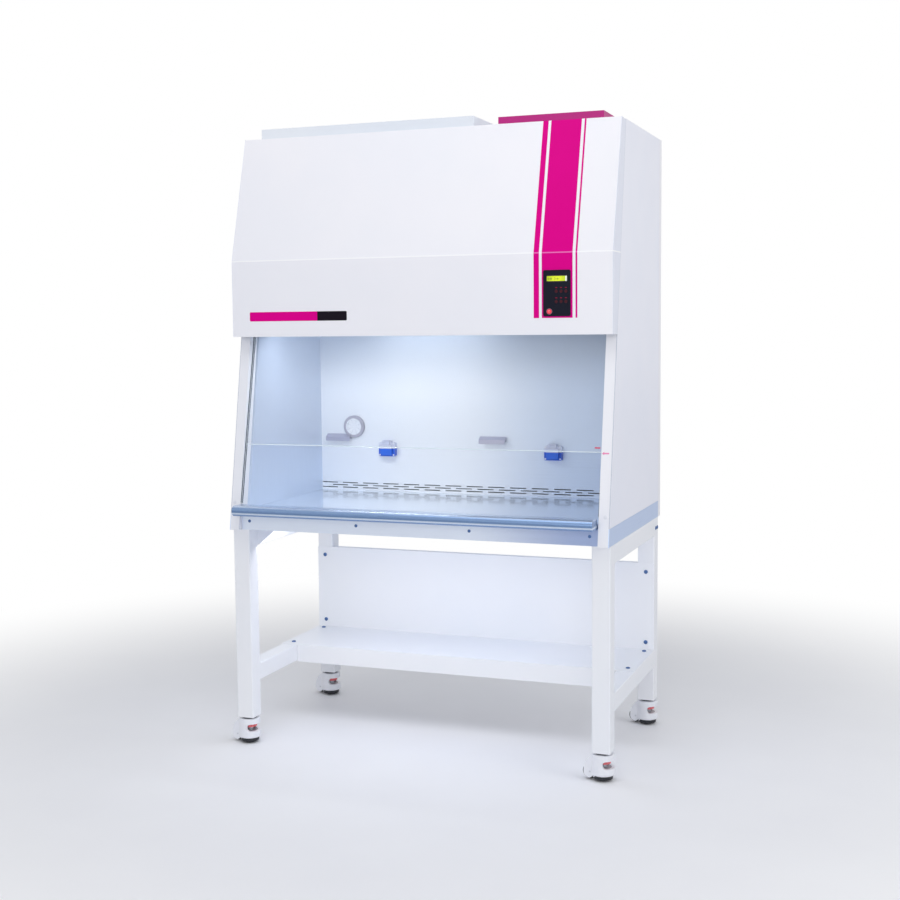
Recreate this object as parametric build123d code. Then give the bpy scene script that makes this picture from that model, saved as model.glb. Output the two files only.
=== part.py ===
from build123d import *
import math
import os

# A class II biosafety cabinet, 4 ft size, on a welded stand with levelling casters.
# Millimetres. X runs to the user's right, Y to the back, Z up. The origin is on the floor,
# on the cabinet's centre plane, midway between the arm rest's nose and the rear panel.

os.makedirs("parts", exist_ok=True)

# ---------------------------------------------------------------- driving dimensions
# Cabinet shell
CABINET_WIDTH = 1320.0      # over the side panels
CABINET_BASE_Z = 750.0      # underside of the cabinet, on top of the stand
CABINET_HEIGHT = 1327.0     # base to top sheet
REAR_Y = 411.0              # outer face of the rear panel
FRONT_BASE_Y = -362.4       # foot of the leaning front, at the base
FRONT_LEAN = 9.58           # degrees that the front leans back
SHEET = 2.0                 # painted and stainless sheet
SEAM = 0.5                  # open joint between neighbouring covers
BAND_HEIGHT = 56.5          # bare stainless band under each side panel
REAR_RETURN = 35.0          # rear panel's fold round each back corner
# Hood over the sash
HOOD_HEIGHT = 673.0         # top sheet to the hood's bottom edge
HOOD_FACE_HEIGHT = 254.0    # upright lower face
HOOD_REACH = 55.482         # lower face in front of the leaning front, at the bottom edge
HOOD_TOP_REACH = 55.07      # the same at the top edge
HOOD_LIP = 22.0             # folds at the hood's bottom and top edges
# Front posts and the sash's track
POST_WIDTH = 33.0
POST_DEPTH = 50.0
TRACK_DEPTH = 9.0           # how far the groove goes into the post
TRACK_CLEARANCE = 1.0       # each side of the glass
TRACK_WALL = 3.0
TRACK_TOP_GAP = 75.8        # top sheet to the raised glass
TRACK_BRACKET = 40.0        # length of a track bracket, up the slope
SASH_LEAN = 11.81           # degrees; the glass leans a little more than the posts
SASH_REF_RISE = 82.0        # height over the base where the glass is SASH_INSET behind the post
SASH_INSET = 4.0
GLASS_THICKNESS = 6.0
GLASS_LENGTH = 622.0        # along the slope
GLASS_SIDE_GAP = 2.0        # glass edge to the bottom of its groove
SASH_OPENING = 200.0        # arm rest to glass edge, working position
SASH_CLOSED_GAP = 8.0       # work surface to glass edge, closed
# Clamp rail on the glass
CARRIER_WALL = 2.0
CARRIER_GRIP = 24.0
CARRIER_END_GAP = 6.0
LUG_BEHIND = 5.0            # cable lug behind the track's clearance
LUG_THICKNESS = 3.0
LUG_BEYOND = 4.0            # lug past the middle of the counterweight
LUG_LENGTH = 40.0
NECK_LENGTH = 20.0
# Arm rest, fascia and work surface
ARM_REST_RISE = 90.0        # arm rest's top over the base
ARM_REST_HEIGHT = 36.0
ARM_REST_REACH = 63.0       # nose in front of the arm rest's back edge
ARM_REST_END_GAP = 4.0
ARM_REST_FALL = 2.0         # back edge under the nose
ARM_REST_GLASS_GAP = 10.0   # back edge in front of the glass
FASCIA_SETBACK = 21.4       # fascia behind the foot of the front
FASCIA_SCREW_END = 30.0
FASCIA_SCREW_DROP = 24.0
WORK_RISE = 69.0            # work surface over the base
TRAY_CLEARANCE = 0.5
TRAY_SKIRT = 20.0
TRAY_SKIRT_END = 25.0
GRILLE_DEPTH = 52.0         # front intake grille
GRILLE_COUNT = 20
GRILLE_SLOT = 6.0
GRILLE_END = 30.0
LINER_GAP = 42.0            # side panel's face to the liner's
BACK_PLENUM = 132.0         # rear panel's face to the slotted wall's
TOP_PLENUM = 521.0          # top sheet to the blower deck
DIFFUSER_GAP = 26.0         # supply filter to the diffuser
DIFFUSER_BAYS = 4
DIFFUSER_RIM = 30.0
LEDGE_WIDTH = 20.0
UPPER_LEDGE_WIDTH = 12.0
# Slots in the back wall
SLOT_LENGTH = 62.0
SLOT_HEIGHT = 3.6
SLOT_PITCH = 83.5
SLOT_MARGIN = 2.0           # least distance from a slot's end to the liner
SLOT_ROWS = 3
SLOT_ROW_STEP = 9.1
SLOT_ROW_LOW = 9.4          # lowest row above the work surface
# Stand
TUBE = 60.0
TUBE_WALL = 2.0
TUBE_CORNER = 4.0           # outer corner radius of the tube
STAND_CAP = 3.0             # bolting plate on the top rail
LEG_END_PLATE = 4.0
LEG_SETBACK = 24.4          # front legs behind the foot of the front
LEG_BACK_SETBACK = 33.0     # back legs in front of the rear panel
LOW_RAIL_RISE = 182.0       # low rail's top over the legs' feet
SHELF_DEPTH = 313.5
SHELF_LIP = 64.0
SHELF_BOLT_FRONT = 35.0
SHELF_BOLT_BACK = 24.0
BACK_PANEL_HEIGHT = 313.0
PANEL_FLANGE = 24.0
PANEL_SCREW_LOW = 28.0
PANEL_SCREW_HIGH = 31.0
FRAME_BOLT_HALF_PITCH = 12.0
FRAME_BOLT_DROP = 33.0
# Levelling caster
HOUSING_RADIUS = 36.0
HOUSING_FLARE = 2.5         # more radius at the foot of the housing
HOUSING_BOTTOM_Z = 19.0
HOUSING_TOP_Z = 86.0
WINDOW_LOW_Z = 43.0
WINDOW_HIGH_Z = 68.0
WINDOW_EDGE_X = 6.0
WHEEL_RADIUS = 25.0
WHEEL_WIDTH = 20.0
WHEEL_TRAIL = 39.0          # swivel axis to wheel axle
WHEEL_LIFT = 3.0            # wheel's clearance while the foot is down
WHEEL_CLEARANCE = 2.0       # round the tread, inside the housing
WHEEL_SIDE_CLEARANCE = 1.5
TREAD_CHAMFER = 4.0
AXLE_RADIUS = 3.0
CHEEK_THICKNESS = 5.5
CHEEK_RADIUS = 20.0
THUMB_RADIUS = 25.0
THUMB_HEIGHT = 11.0
THUMB_TEETH = 14
THUMB_NOTCH = 2.2
THUMB_HUB_RADIUS = 13.0
FOOT_RADIUS = 17.5
FOOT_THICKNESS = 7.0
FOOT_STEM_RADIUS = 8.0
FOOT_TRAVEL = 8.0
SKIRT_RADIUS = 31.5
SKIRT_BOTTOM_Z = 5.0
BEARING_RADIUS = 25.0
BEARING_HEIGHT = 6.0        # housing's top to the leg's foot
BEARING_GAP = 0.2
STEM_RADIUS = 6.0
STEM_LENGTH = 30.0
PIN_RADIUS = 7.0
RUNNING = 0.05              # radial clearance of a turning fit
# Top boxes
TOP_BOX_SETBACK = 50.5      # both boxes behind the hood's top edge
EXHAUST_MARGIN = 37.0       # from the cabinet's left side
EXHAUST_BACK_MARGIN = 66.0
EXHAUST_BOX_HEIGHT = 40.0
EXHAUST_RIM = 40.0
CONTROL_BOX_MARGIN = 70.0   # from the cabinet's right side
CONTROL_BACK_MARGIN = 111.0
CONTROL_BOX_WIDTH = 351.0
CONTROL_BOX_HEIGHT = 30.0
BOX_GAP = 85.0
# Control panel
PANEL_INSET = 178.0         # panel's middle from the cabinet's right side
PANEL_WIDTH = 88.0
PANEL_RISE = 57.0           # panel's foot over the hood's bottom edge
PANEL_HEIGHT = 143.0
PANEL_THICKNESS = 3.0
PANEL_CORNER = 5.0
PANEL_BOX_DEPTH = 26.0
PANEL_BOX_WALL = 1.2
RECESS_INSET = 5.0          # hood's cut-out inside the bezel's outline
LCD_WIDTH = 65.0
LCD_HEIGHT = 20.0
LCD_RISE = 106.5            # over the panel's foot, as the keys are
KEY_RADIUS = 5.0
KEY_TRAVEL = 1.2
KEY_OFFSETS = (-1.5, 14.0, 29.5)
KEY_RISES = (77.0, 45.5)
KEY_PROUD = 1.4
KEY_FLANGE = 0.8
POWER_RADIUS = 7.5
POWER_OFFSET = -24.0
POWER_RISE = 15.0
POWER_PROUD = 2.4
KEY_GAP = 0.3
# Fittings on the back wall, placed from the left liner and the work surface
PORT_INSET = 139.0
PORT_RISE = 242.0
PORT_RADIUS = 42.0
PORT_BORE_RADIUS = 27.5
PORT_FLANGE = 12.0
PORT_SLEEVE = 30.0
HANDLE_INSET = 78.0
HANDLE_PITCH = 614.0
HANDLE_WIDTH = 99.0
HANDLE_RISE = 188.0
HANDLE_HEIGHT = 26.0
HANDLE_REACH = 24.0
SOCKET_INSET = 278.0
SOCKET_PITCH = 644.0
SOCKET_WIDTH = 64.0
SOCKET_HEIGHT = 52.0
SOCKET_RISE = 134.0
SOCKET_DEPTH = 22.0
LID_WIDTH = 46.0
LID_HEIGHT = 40.0
LID_THICKNESS = 7.0
HINGE_WIDTH = 28.0
HINGE_RADIUS = 4.0
HINGE_EAR = 5.0
HINGE_PIN_RADIUS = 1.5
# Counterbalance and blower
PULLEY_RADIUS = 40.0
PULLEY_WIDTH = 10.0
SHAFT_RADIUS = 6.0
SHAFT_DROP = 61.0           # under the top sheet
SHAFT_SETBACK = 118.73      # behind the leaning front
BEARING_PLATE = 40.0
WEIGHT_THICKNESS = 16.0
WEIGHT_DEPTH = 100.0
WEIGHT_HEIGHT = 520.0
WEIGHT_CLEAR = 15.4         # weight under the pulley while the sash is closed
WEIGHT_GAP = 1.0
BLOWER_SETBACK = 219.0      # axis in front of the slotted wall
BLOWER_FOOT = 5.0           # scroll over the deck
IMPELLER_RADIUS = 125.0
IMPELLER_EYE = 103.0
IMPELLER_WIDTH = 130.0
IMPELLER_BLADES = 20
IMPELLER_RING = 3.0
BLADE_THICKNESS = 2.0
BLADE_ANGLE = 18.0
HUB_RADIUS = 24.0
HUB_LENGTH = 28.0
BLOWER_SHAFT_RADIUS = 10.0
SCROLL_RADIUS = 180.0
SCROLL_CLEARANCE = 8.0      # each side of the impeller
SCROLL_INLET_RADIUS = 90.0
MOTOR_GAP = 30.0
MOTOR_RADIUS = 60.0
MOTOR_LENGTH = 110.0
CRADLE_INSET = 15.0
CRADLE_HALF_WIDTH = 45.0
CRADLE_DROP = 35.0          # cradle's top under the motor's axis
SUPPLY_FILTER_HEIGHT = 90.0
EXHAUST_FILTER_HEIGHT = 70.0
FILTER_FRAME = 18.0
FILTER_RECESS = 8.0
FILTER_FRONT_GAP = 14.0     # supply filter behind the posts
LAMP_TUBE_RADIUS = 13.0
LAMP_RISE = 54.0            # lamp tray over the hood's bottom edge
LAMP_END_GAP = 35.0
LAMP_TRAY_DEPTH = 46.0
LAMP_TUBE_DROP = 20.0
LAMP_TUBE_SETBACK = 25.0
LAMP_HOLDER = 14.0

# ---------------------------------------------------------------- worked-out sizes
HALF = CABINET_WIDTH / 2
INSIDE = HALF - SHEET                       # inner face of a side panel
TOP_Z = CABINET_BASE_Z + CABINET_HEIGHT
SIDE_LOW_Z = CABINET_BASE_Z + BAND_HEIGHT + SEAM
POST_INNER_X = INSIDE - POST_WIDTH
LINER_X = HALF - LINER_GAP
FRONT_SLOPE = math.tan(math.radians(FRONT_LEAN))
SASH_SLOPE = math.tan(math.radians(SASH_LEAN))
SASH_COS = math.cos(math.radians(SASH_LEAN))


def front_y(z):
    """Y of the leaning front at height z."""
    return FRONT_BASE_Y + (z - CABINET_BASE_Z) * FRONT_SLOPE


def sash_y(z):
    """Y of the glass's front face at height z."""
    reference = CABINET_BASE_Z + SASH_REF_RISE
    return front_y(reference) + SASH_INSET + (z - reference) * SASH_SLOPE


HOOD_BOTTOM_Z = TOP_Z - HOOD_HEIGHT
HOOD_CREASE_Z = HOOD_BOTTOM_Z + HOOD_FACE_HEIGHT
HOOD_FACE_Y = front_y(HOOD_BOTTOM_Z) - HOOD_REACH
HOOD_TOP_Y = front_y(TOP_Z) - HOOD_TOP_REACH
ARM_REST_TOP_Z = CABINET_BASE_Z + ARM_REST_RISE
ARM_REST_BACK_Y = sash_y(ARM_REST_TOP_Z) - ARM_REST_GLASS_GAP
ARM_REST_NOSE_Y = ARM_REST_BACK_Y - ARM_REST_REACH
FASCIA_Y = FRONT_BASE_Y + FASCIA_SETBACK
WORK_Z = CABINET_BASE_Z + WORK_RISE
CHAMBER_BACK_Y = REAR_Y - BACK_PLENUM
LINER_TOP_Z = TOP_Z - TOP_PLENUM
DIFFUSER_Z = LINER_TOP_Z - SUPPLY_FILTER_HEIGHT - DIFFUSER_GAP
GLASS_HALF = POST_INNER_X + TRACK_DEPTH - GLASS_SIDE_GAP
GLASS_LOW_Z = ARM_REST_TOP_Z - ARM_REST_FALL + SASH_OPENING
SASH_RAISE = (TOP_Z - TRACK_TOP_GAP - GLASS_LOW_Z) / SASH_COS - GLASS_LENGTH
SASH_DROP = (GLASS_LOW_Z - WORK_Z - SASH_CLOSED_GAP) / SASH_COS
SHAFT_Z = TOP_Z - SHAFT_DROP
SHAFT_Y = front_y(SHAFT_Z) + SHAFT_SETBACK
WEIGHT_LOW_Z = SHAFT_Z - PULLEY_RADIUS - WEIGHT_CLEAR - SASH_DROP - WEIGHT_HEIGHT
WEIGHT_Y = SHAFT_Y + PULLEY_RADIUS          # middle of the weight, under the pulley's back
BLOWER_Y = CHAMBER_BACK_Y - BLOWER_SETBACK
BLOWER_DECK_Z = LINER_TOP_Z + SHEET
BLOWER_Z = BLOWER_DECK_Z + BLOWER_FOOT + SHEET + SCROLL_RADIUS
LEG_FRONT_Y = FRONT_BASE_Y + LEG_SETBACK    # front face of the front legs
LEG_BACK_Y = REAR_Y - LEG_BACK_SETBACK      # back face of the back legs
LEG_FOOT_Z = HOUSING_TOP_Z + BEARING_HEIGHT
LEG_CENTRE_X = HALF - TUBE / 2
STAND_TOP_Z = CABINET_BASE_Z - STAND_CAP
LOW_RAIL_TOP_Z = LEG_FOOT_Z + LOW_RAIL_RISE
SHELF_TOP_Z = LOW_RAIL_TOP_Z + SHEET
SHELF_BACK_Y = LEG_BACK_Y - TUBE - SHEET - SEAM
SHELF_FRONT_Y = SHELF_BACK_Y - SHELF_DEPTH
PANEL_TOP_Z = SHELF_TOP_Z + BACK_PANEL_HEIGHT
CASTER_Y = (LEG_FRONT_Y + TUBE / 2, LEG_BACK_Y - TUBE / 2)
WHEEL_Z = WHEEL_RADIUS + WHEEL_LIFT
PANEL_CENTRE_X = HALF - PANEL_INSET
PANEL_LOW_Z = HOOD_BOTTOM_Z + PANEL_RISE
LCD_LOW_Z = PANEL_LOW_Z + LCD_RISE
KEY_X = [PANEL_CENTRE_X + offset for offset in KEY_OFFSETS]
KEY_Z = [PANEL_LOW_Z + rise for rise in KEY_RISES]
POWER_X = PANEL_CENTRE_X + POWER_OFFSET
POWER_Z = PANEL_LOW_Z + POWER_RISE
PORT_X = PORT_INSET - LINER_X
PORT_Z = WORK_Z + PORT_RISE
HANDLE_LOW_Z = WORK_Z + HANDLE_RISE
HANDLE_CENTRES = (HANDLE_INSET - LINER_X, HANDLE_INSET - LINER_X + HANDLE_PITCH)
SOCKET_LOW_Z = WORK_Z + SOCKET_RISE
SOCKET_CENTRES = (SOCKET_INSET - LINER_X, SOCKET_INSET - LINER_X + SOCKET_PITCH)
TOP_BOX_FRONT_Y = HOOD_TOP_Y + TOP_BOX_SETBACK
CONTROL_X = (HALF - CONTROL_BOX_MARGIN - CONTROL_BOX_WIDTH, HALF - CONTROL_BOX_MARGIN)
EXHAUST_X = (EXHAUST_MARGIN - HALF, CONTROL_X[0] - BOX_GAP)
CONTROL_BOX = (*CONTROL_X, TOP_BOX_FRONT_Y, REAR_Y - CONTROL_BACK_MARGIN)
EXHAUST_BOX = (*EXHAUST_X, TOP_BOX_FRONT_Y, REAR_Y - EXHAUST_BACK_MARGIN)

# The glass's own frame at the working position: X across, Y into the cabinet, Z up the slope.
SASH_FRAME = Plane(
    origin=(0, sash_y(GLASS_LOW_Z), GLASS_LOW_Z),
    x_dir=(1, 0, 0),
    z_dir=(0, math.sin(math.radians(SASH_LEAN)), SASH_COS),
)


# ---------------------------------------------------------------- helpers
def block(x, y, z):
    """A box from its low and high value on each axis."""
    size = [high - low for low, high in (x, y, z)]
    middle = [(high + low) / 2 for low, high in (x, y, z)]
    return Pos(*middle) * Box(*size)


def across(points, x):
    """An outline of (y, z) points pulled along X."""
    face = make_face(Plane.YZ * Polyline(*points, close=True))
    return Pos(x[0], 0, 0) * extrude(face, amount=x[1] - x[0], dir=(1, 0, 0))


def rod_x(y, z, radius, x):
    return Pos((x[0] + x[1]) / 2, y, z) * Rot(0, 90, 0) * Cylinder(radius, x[1] - x[0])


def rod_y(x, z, radius, y):
    return Pos(x, (y[0] + y[1]) / 2, z) * Rot(90, 0, 0) * Cylinder(radius, y[1] - y[0])


def rod_z(x, y, radius, z):
    return Pos(x, y, (z[0] + z[1]) / 2) * Cylinder(radius, z[1] - z[0])


def mirrored(shape):
    """The same piece on the cabinet's left side."""
    return mirror(shape, about=Plane.YZ)


def pair(shape):
    return [shape, mirrored(shape)]


def write(node, *shapes):
    """One STEP file for one named piece, or for a group of like pieces."""
    solids = []
    for shape in shapes:
        solids.extend(shape.solids())
    whole = solids[0] if len(solids) == 1 else Compound(children=solids)
    export_step(whole, f"parts/{node}.step")


# ---------------------------------------------------------------- outer shell
def side_panel():
    """Right side cover: flat sheet with the leaning front edge."""
    back = REAR_Y - REAR_RETURN - SEAM
    outline = [
        (front_y(SIDE_LOW_Z), SIDE_LOW_Z),
        (front_y(TOP_Z), TOP_Z),
        (back, TOP_Z),
        (back, SIDE_LOW_Z),
    ]
    return across(outline, (INSIDE, HALF))


def rear_panel():
    """Back cover, folded round both rear corners."""
    height = (CABINET_BASE_Z, TOP_Z)
    back = block((-HALF, HALF), (REAR_Y - SHEET, REAR_Y), height)
    fold = block((INSIDE, HALF), (REAR_Y - REAR_RETURN, REAR_Y - SHEET), height)
    return back + fold + mirrored(fold)


def top_panel():
    """Top sheet with a folded rim at each side and the exhaust opening."""
    front = HOOD_TOP_Y + HOOD_LIP + SEAM
    back = REAR_Y - SHEET
    sheet = block((-INSIDE, INSIDE), (front, back), (TOP_Z - SHEET, TOP_Z))
    fold = block((INSIDE - SHEET, INSIDE), (front, back), (TOP_Z - HOOD_LIP, TOP_Z - SHEET))
    x0, x1, y0, y1 = exhaust_opening()
    return sheet + fold + mirrored(fold) - block((x0, x1), (y0, y1), (TOP_Z - 5, TOP_Z + 5))


def exhaust_opening():
    """Low and high X and Y of the hole under the exhaust box."""
    x0, x1, y0, y1 = EXHAUST_BOX
    front = max(y0 + EXHAUST_RIM, SHAFT_Y + SHAFT_RADIUS + EXHAUST_RIM)
    return x0 + EXHAUST_RIM, x1 - EXHAUST_RIM, front, y1 - EXHAUST_RIM


def front_hood():
    """Folded front cover over the sash: upright below the crease, leaning above it."""
    face = [
        (HOOD_FACE_Y, HOOD_BOTTOM_Z),
        (HOOD_FACE_Y, HOOD_CREASE_Z),
        (HOOD_TOP_Y, TOP_Z),
        (HOOD_TOP_Y + HOOD_LIP, TOP_Z),
        (HOOD_TOP_Y + HOOD_LIP, TOP_Z - SHEET),
        (HOOD_TOP_Y + SHEET, TOP_Z - SHEET),
        (HOOD_FACE_Y + SHEET, HOOD_CREASE_Z),
        (HOOD_FACE_Y + SHEET, HOOD_BOTTOM_Z + SHEET),
        (HOOD_FACE_Y + HOOD_LIP, HOOD_BOTTOM_Z + SHEET),
        (HOOD_FACE_Y + HOOD_LIP, HOOD_BOTTOM_Z),
    ]
    cheek = [
        (HOOD_FACE_Y + SHEET, HOOD_BOTTOM_Z),
        (HOOD_FACE_Y + SHEET, HOOD_CREASE_Z),
        (HOOD_TOP_Y + SHEET, TOP_Z - SHEET),
        (front_y(TOP_Z - SHEET) - SEAM, TOP_Z - SHEET),
        (front_y(HOOD_BOTTOM_Z) - SEAM, HOOD_BOTTOM_Z),
    ]
    side = across(cheek, (INSIDE, HALF))
    hood = across(face, (-HALF, HALF)) + side + mirrored(side)
    return hood - control_recess()


def control_recess():
    """The control panel's cut-out in the hood's lower face."""
    inset = RECESS_INSET
    half = PANEL_WIDTH / 2 - inset
    return block(
        (PANEL_CENTRE_X - half, PANEL_CENTRE_X + half),
        (HOOD_FACE_Y - 5, HOOD_FACE_Y + SHEET + 5),
        (PANEL_LOW_Z + inset, PANEL_LOW_Z + PANEL_HEIGHT - inset),
    )


# ---------------------------------------------------------------- front posts and tracks
def sash_groove(margin, x):
    """The glass's slot down the front, with margin more than the glass on both faces."""
    low = -GLASS_LENGTH
    return SASH_FRAME * block(x, (-margin, GLASS_THICKNESS + margin), (low, 2 * GLASS_LENGTH))


def front_post():
    """Right post: closed folded section with the sash's groove in its inner face."""
    low, high = CABINET_BASE_Z, HOOD_BOTTOM_Z

    def section(inset_front, inset_back, end):
        return [
            (front_y(low + end) + inset_front, low + end),
            (front_y(high - end) + inset_front, high - end),
            (front_y(high - end) + POST_DEPTH - inset_back, high - end),
            (front_y(low + end) + POST_DEPTH - inset_back, low + end),
        ]

    post = across(section(0, 0, 0), (POST_INNER_X, INSIDE))
    groove_end = POST_INNER_X + TRACK_DEPTH
    hollow = across(section(SHEET, SHEET, SHEET), (groove_end + SHEET, INSIDE - SHEET))
    groove = sash_groove(TRACK_CLEARANCE, (POST_INNER_X - 1, groove_end))
    keep = block((0, HALF), (-CABINET_WIDTH, CABINET_WIDTH), (WORK_Z, TOP_Z))
    return post - hollow - (groove & keep)


def upper_track():
    """Right channel that carries the glass behind the hood, in line with the post's groove."""
    wall = TRACK_WALL
    low = (HOOD_BOTTOM_Z + SEAM - GLASS_LOW_Z) / SASH_COS + 2.0
    high = GLASS_LENGTH + SASH_RAISE
    outer = (-TRACK_CLEARANCE - wall, GLASS_THICKNESS + TRACK_CLEARANCE + wall)
    web_x = POST_INNER_X + TRACK_DEPTH
    body = SASH_FRAME * block((POST_INNER_X, web_x + wall), outer, (low, high))
    track = body - sash_groove(TRACK_CLEARANCE, (POST_INNER_X - 1, web_x))
    for end in (low + TRACK_BRACKET / 2, high - TRACK_BRACKET * 1.5):
        span = (end, end + TRACK_BRACKET)
        track += SASH_FRAME * block((web_x + wall, INSIDE), (outer[0], outer[0] + wall), span)
    return track


def weight_guide():
    """Right channel on the side panel in which the counterweight runs."""
    reach = (INSIDE - SHEET - WEIGHT_THICKNESS - WEIGHT_GAP, INSIDE - SHEET)
    half = WEIGHT_DEPTH / 2 + WEIGHT_GAP
    edges = (WEIGHT_Y - half - SHEET, WEIGHT_Y + half + SHEET)
    span = (WEIGHT_LOW_Z - SASH_RAISE - WEIGHT_CLEAR, SHAFT_Z - PULLEY_RADIUS - WEIGHT_CLEAR / 2)
    web = block((INSIDE - SHEET, INSIDE), edges, span)
    front = block(reach, (edges[0], edges[0] + SHEET), span)
    back = block(reach, (edges[1] - SHEET, edges[1]), span)
    return web + front + back


def shaft_bearing():
    """Right bearing plate on the side panel, for the sash shaft."""
    x = (INSIDE - 2 * SHEET, INSIDE)
    half = BEARING_PLATE / 2
    plate = block(x, (SHAFT_Y - half, SHAFT_Y + half), (SHAFT_Z - half, SHAFT_Z + half))
    return plate - rod_x(SHAFT_Y, SHAFT_Z, SHAFT_RADIUS + RUNNING, (x[0] - 1, x[1] + 1))


# ---------------------------------------------------------------- sash and counterbalance
def sash_glass():
    pane = block((-GLASS_HALF, GLASS_HALF), (0, GLASS_THICKNESS), (0, GLASS_LENGTH))
    edges = pane.edges().filter_by(Axis.X).group_by(Axis.Z)[0]
    return SASH_FRAME * chamfer(edges, 1.0)


def sash_carrier():
    """Clamp rail on the glass's top edge, with a cable lug reaching behind each track."""
    half = POST_INNER_X - CARRIER_END_GAP
    span = (GLASS_LENGTH - CARRIER_GRIP, GLASS_LENGTH)
    wall = CARRIER_WALL
    jaw = block((-half, half), (-wall, GLASS_THICKNESS + wall), (span[0], span[1] + wall))
    jaw -= block((-half - 1, half + 1), (0, GLASS_THICKNESS), (span[0] - 1, span[1]))
    back = GLASS_THICKNESS + TRACK_CLEARANCE + LUG_BEHIND
    lug_end = INSIDE - SHEET - WEIGHT_THICKNESS / 2 + LUG_BEYOND
    lug = block((half - LUG_LENGTH, lug_end), (back, back + LUG_THICKNESS), span)
    neck_x = (half - LUG_LENGTH, half - LUG_LENGTH + NECK_LENGTH)
    neck = block(neck_x, (GLASS_THICKNESS + wall, back), span)
    rail = jaw + lug + neck + mirrored(lug) + mirrored(neck)
    return SASH_FRAME * rail


def counterweight():
    outer = INSIDE - SHEET - WEIGHT_GAP / 2
    half = WEIGHT_DEPTH / 2
    slab = block(
        (outer - WEIGHT_THICKNESS, outer),
        (WEIGHT_Y - half, WEIGHT_Y + half),
        (WEIGHT_LOW_Z, WEIGHT_LOW_Z + WEIGHT_HEIGHT),
    )
    return fillet(slab.edges().filter_by(Axis.X), 6.0)


def sash_shaft():
    """Cross shaft with a grooved cable pulley at each end, so both sides lift together."""
    end = INSIDE - 0.5
    pulley_x = INSIDE - SHEET - WEIGHT_THICKNESS / 2
    shaft = rod_x(SHAFT_Y, SHAFT_Z, SHAFT_RADIUS, (-end, end))
    half = PULLEY_WIDTH / 2
    rim = PULLEY_RADIUS
    groove = rim - half * 0.7
    profile = [
        (SHAFT_RADIUS / 2, -half),
        (rim, -half),
        (rim, -half * 0.7),
        (groove, 0),
        (rim, half * 0.7),
        (rim, half),
        (SHAFT_RADIUS / 2, half),
    ]
    face = make_face(Plane.XZ * Polyline(*profile, close=True))
    wheel = Rot(0, 90, 0) * revolve(face, Axis.Z)
    wheel = Pos(pulley_x, SHAFT_Y, SHAFT_Z) * wheel
    return shaft + wheel + mirrored(wheel)


# ---------------------------------------------------------------- base, arm rest and fascia
def base_pan():
    """Stainless pan: floor of the cabinet, with the bare band up each side."""
    back = REAR_Y - SHEET
    floor_front = FASCIA_Y + SHEET
    floor = block((-INSIDE, INSIDE), (floor_front, back), (CABINET_BASE_Z, CABINET_BASE_Z + SHEET))
    posts = block(
        (POST_INNER_X - SEAM, INSIDE + 1),
        (floor_front - 1, front_y(CABINET_BASE_Z) + POST_DEPTH + SEAM),
        (CABINET_BASE_Z - 1, CABINET_BASE_Z + SHEET + 1),
    )
    band_top = CABINET_BASE_Z + BAND_HEIGHT
    outline = [
        (front_y(CABINET_BASE_Z), CABINET_BASE_Z),
        (front_y(band_top), band_top),
        (REAR_Y - REAR_RETURN - SEAM, band_top),
        (REAR_Y - REAR_RETURN - SEAM, CABINET_BASE_Z),
    ]
    band = across(outline, (INSIDE, HALF))
    return floor - posts - mirrored(posts) + band + mirrored(band)


def front_fascia():
    """Stainless strip under the arm rest, held by four screws."""
    top = ARM_REST_TOP_Z - ARM_REST_HEIGHT
    half = POST_INNER_X - SEAM
    strip = block((-half, half), (FASCIA_Y, FASCIA_Y + SHEET), (CABINET_BASE_Z, top))
    for x in fascia_screw_x():
        strip -= rod_y(x, fascia_screw_z(), 2.2 + RUNNING, (FASCIA_Y - 1, FASCIA_Y + SHEET + 1))
    return strip


def fascia_screw_x():
    half = POST_INNER_X - FASCIA_SCREW_END
    return [-half, -half / 3, half / 3, half]


def fascia_screw_z():
    return ARM_REST_TOP_Z - ARM_REST_HEIGHT - FASCIA_SCREW_DROP


def arm_rest():
    """Hollow stainless bar with a round nose, over the fascia."""
    low = ARM_REST_TOP_Z - ARM_REST_HEIGHT
    half = POST_INNER_X - ARM_REST_END_GAP

    def bar(inset, half_length):
        back_top = (ARM_REST_BACK_Y - inset, ARM_REST_TOP_Z - ARM_REST_FALL - inset)
        outline = [
            back_top,
            (ARM_REST_NOSE_Y + inset, ARM_REST_TOP_Z - inset),
            (ARM_REST_NOSE_Y + inset, low + inset),
            (FASCIA_Y + SHEET - inset, low + inset),
            (FASCIA_Y + SHEET - inset, WORK_Z - SHEET - inset),
            (ARM_REST_BACK_Y - inset, WORK_Z - SHEET - inset),
        ]
        solid = across(outline, (-half_length, half_length))
        nose = solid.edges().filter_by(Axis.X).group_by(Axis.Y)[0]
        return fillet(nose, ARM_REST_HEIGHT / 2 - inset - 1.2)

    return bar(0, half) - bar(SHEET, half - SHEET)


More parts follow.
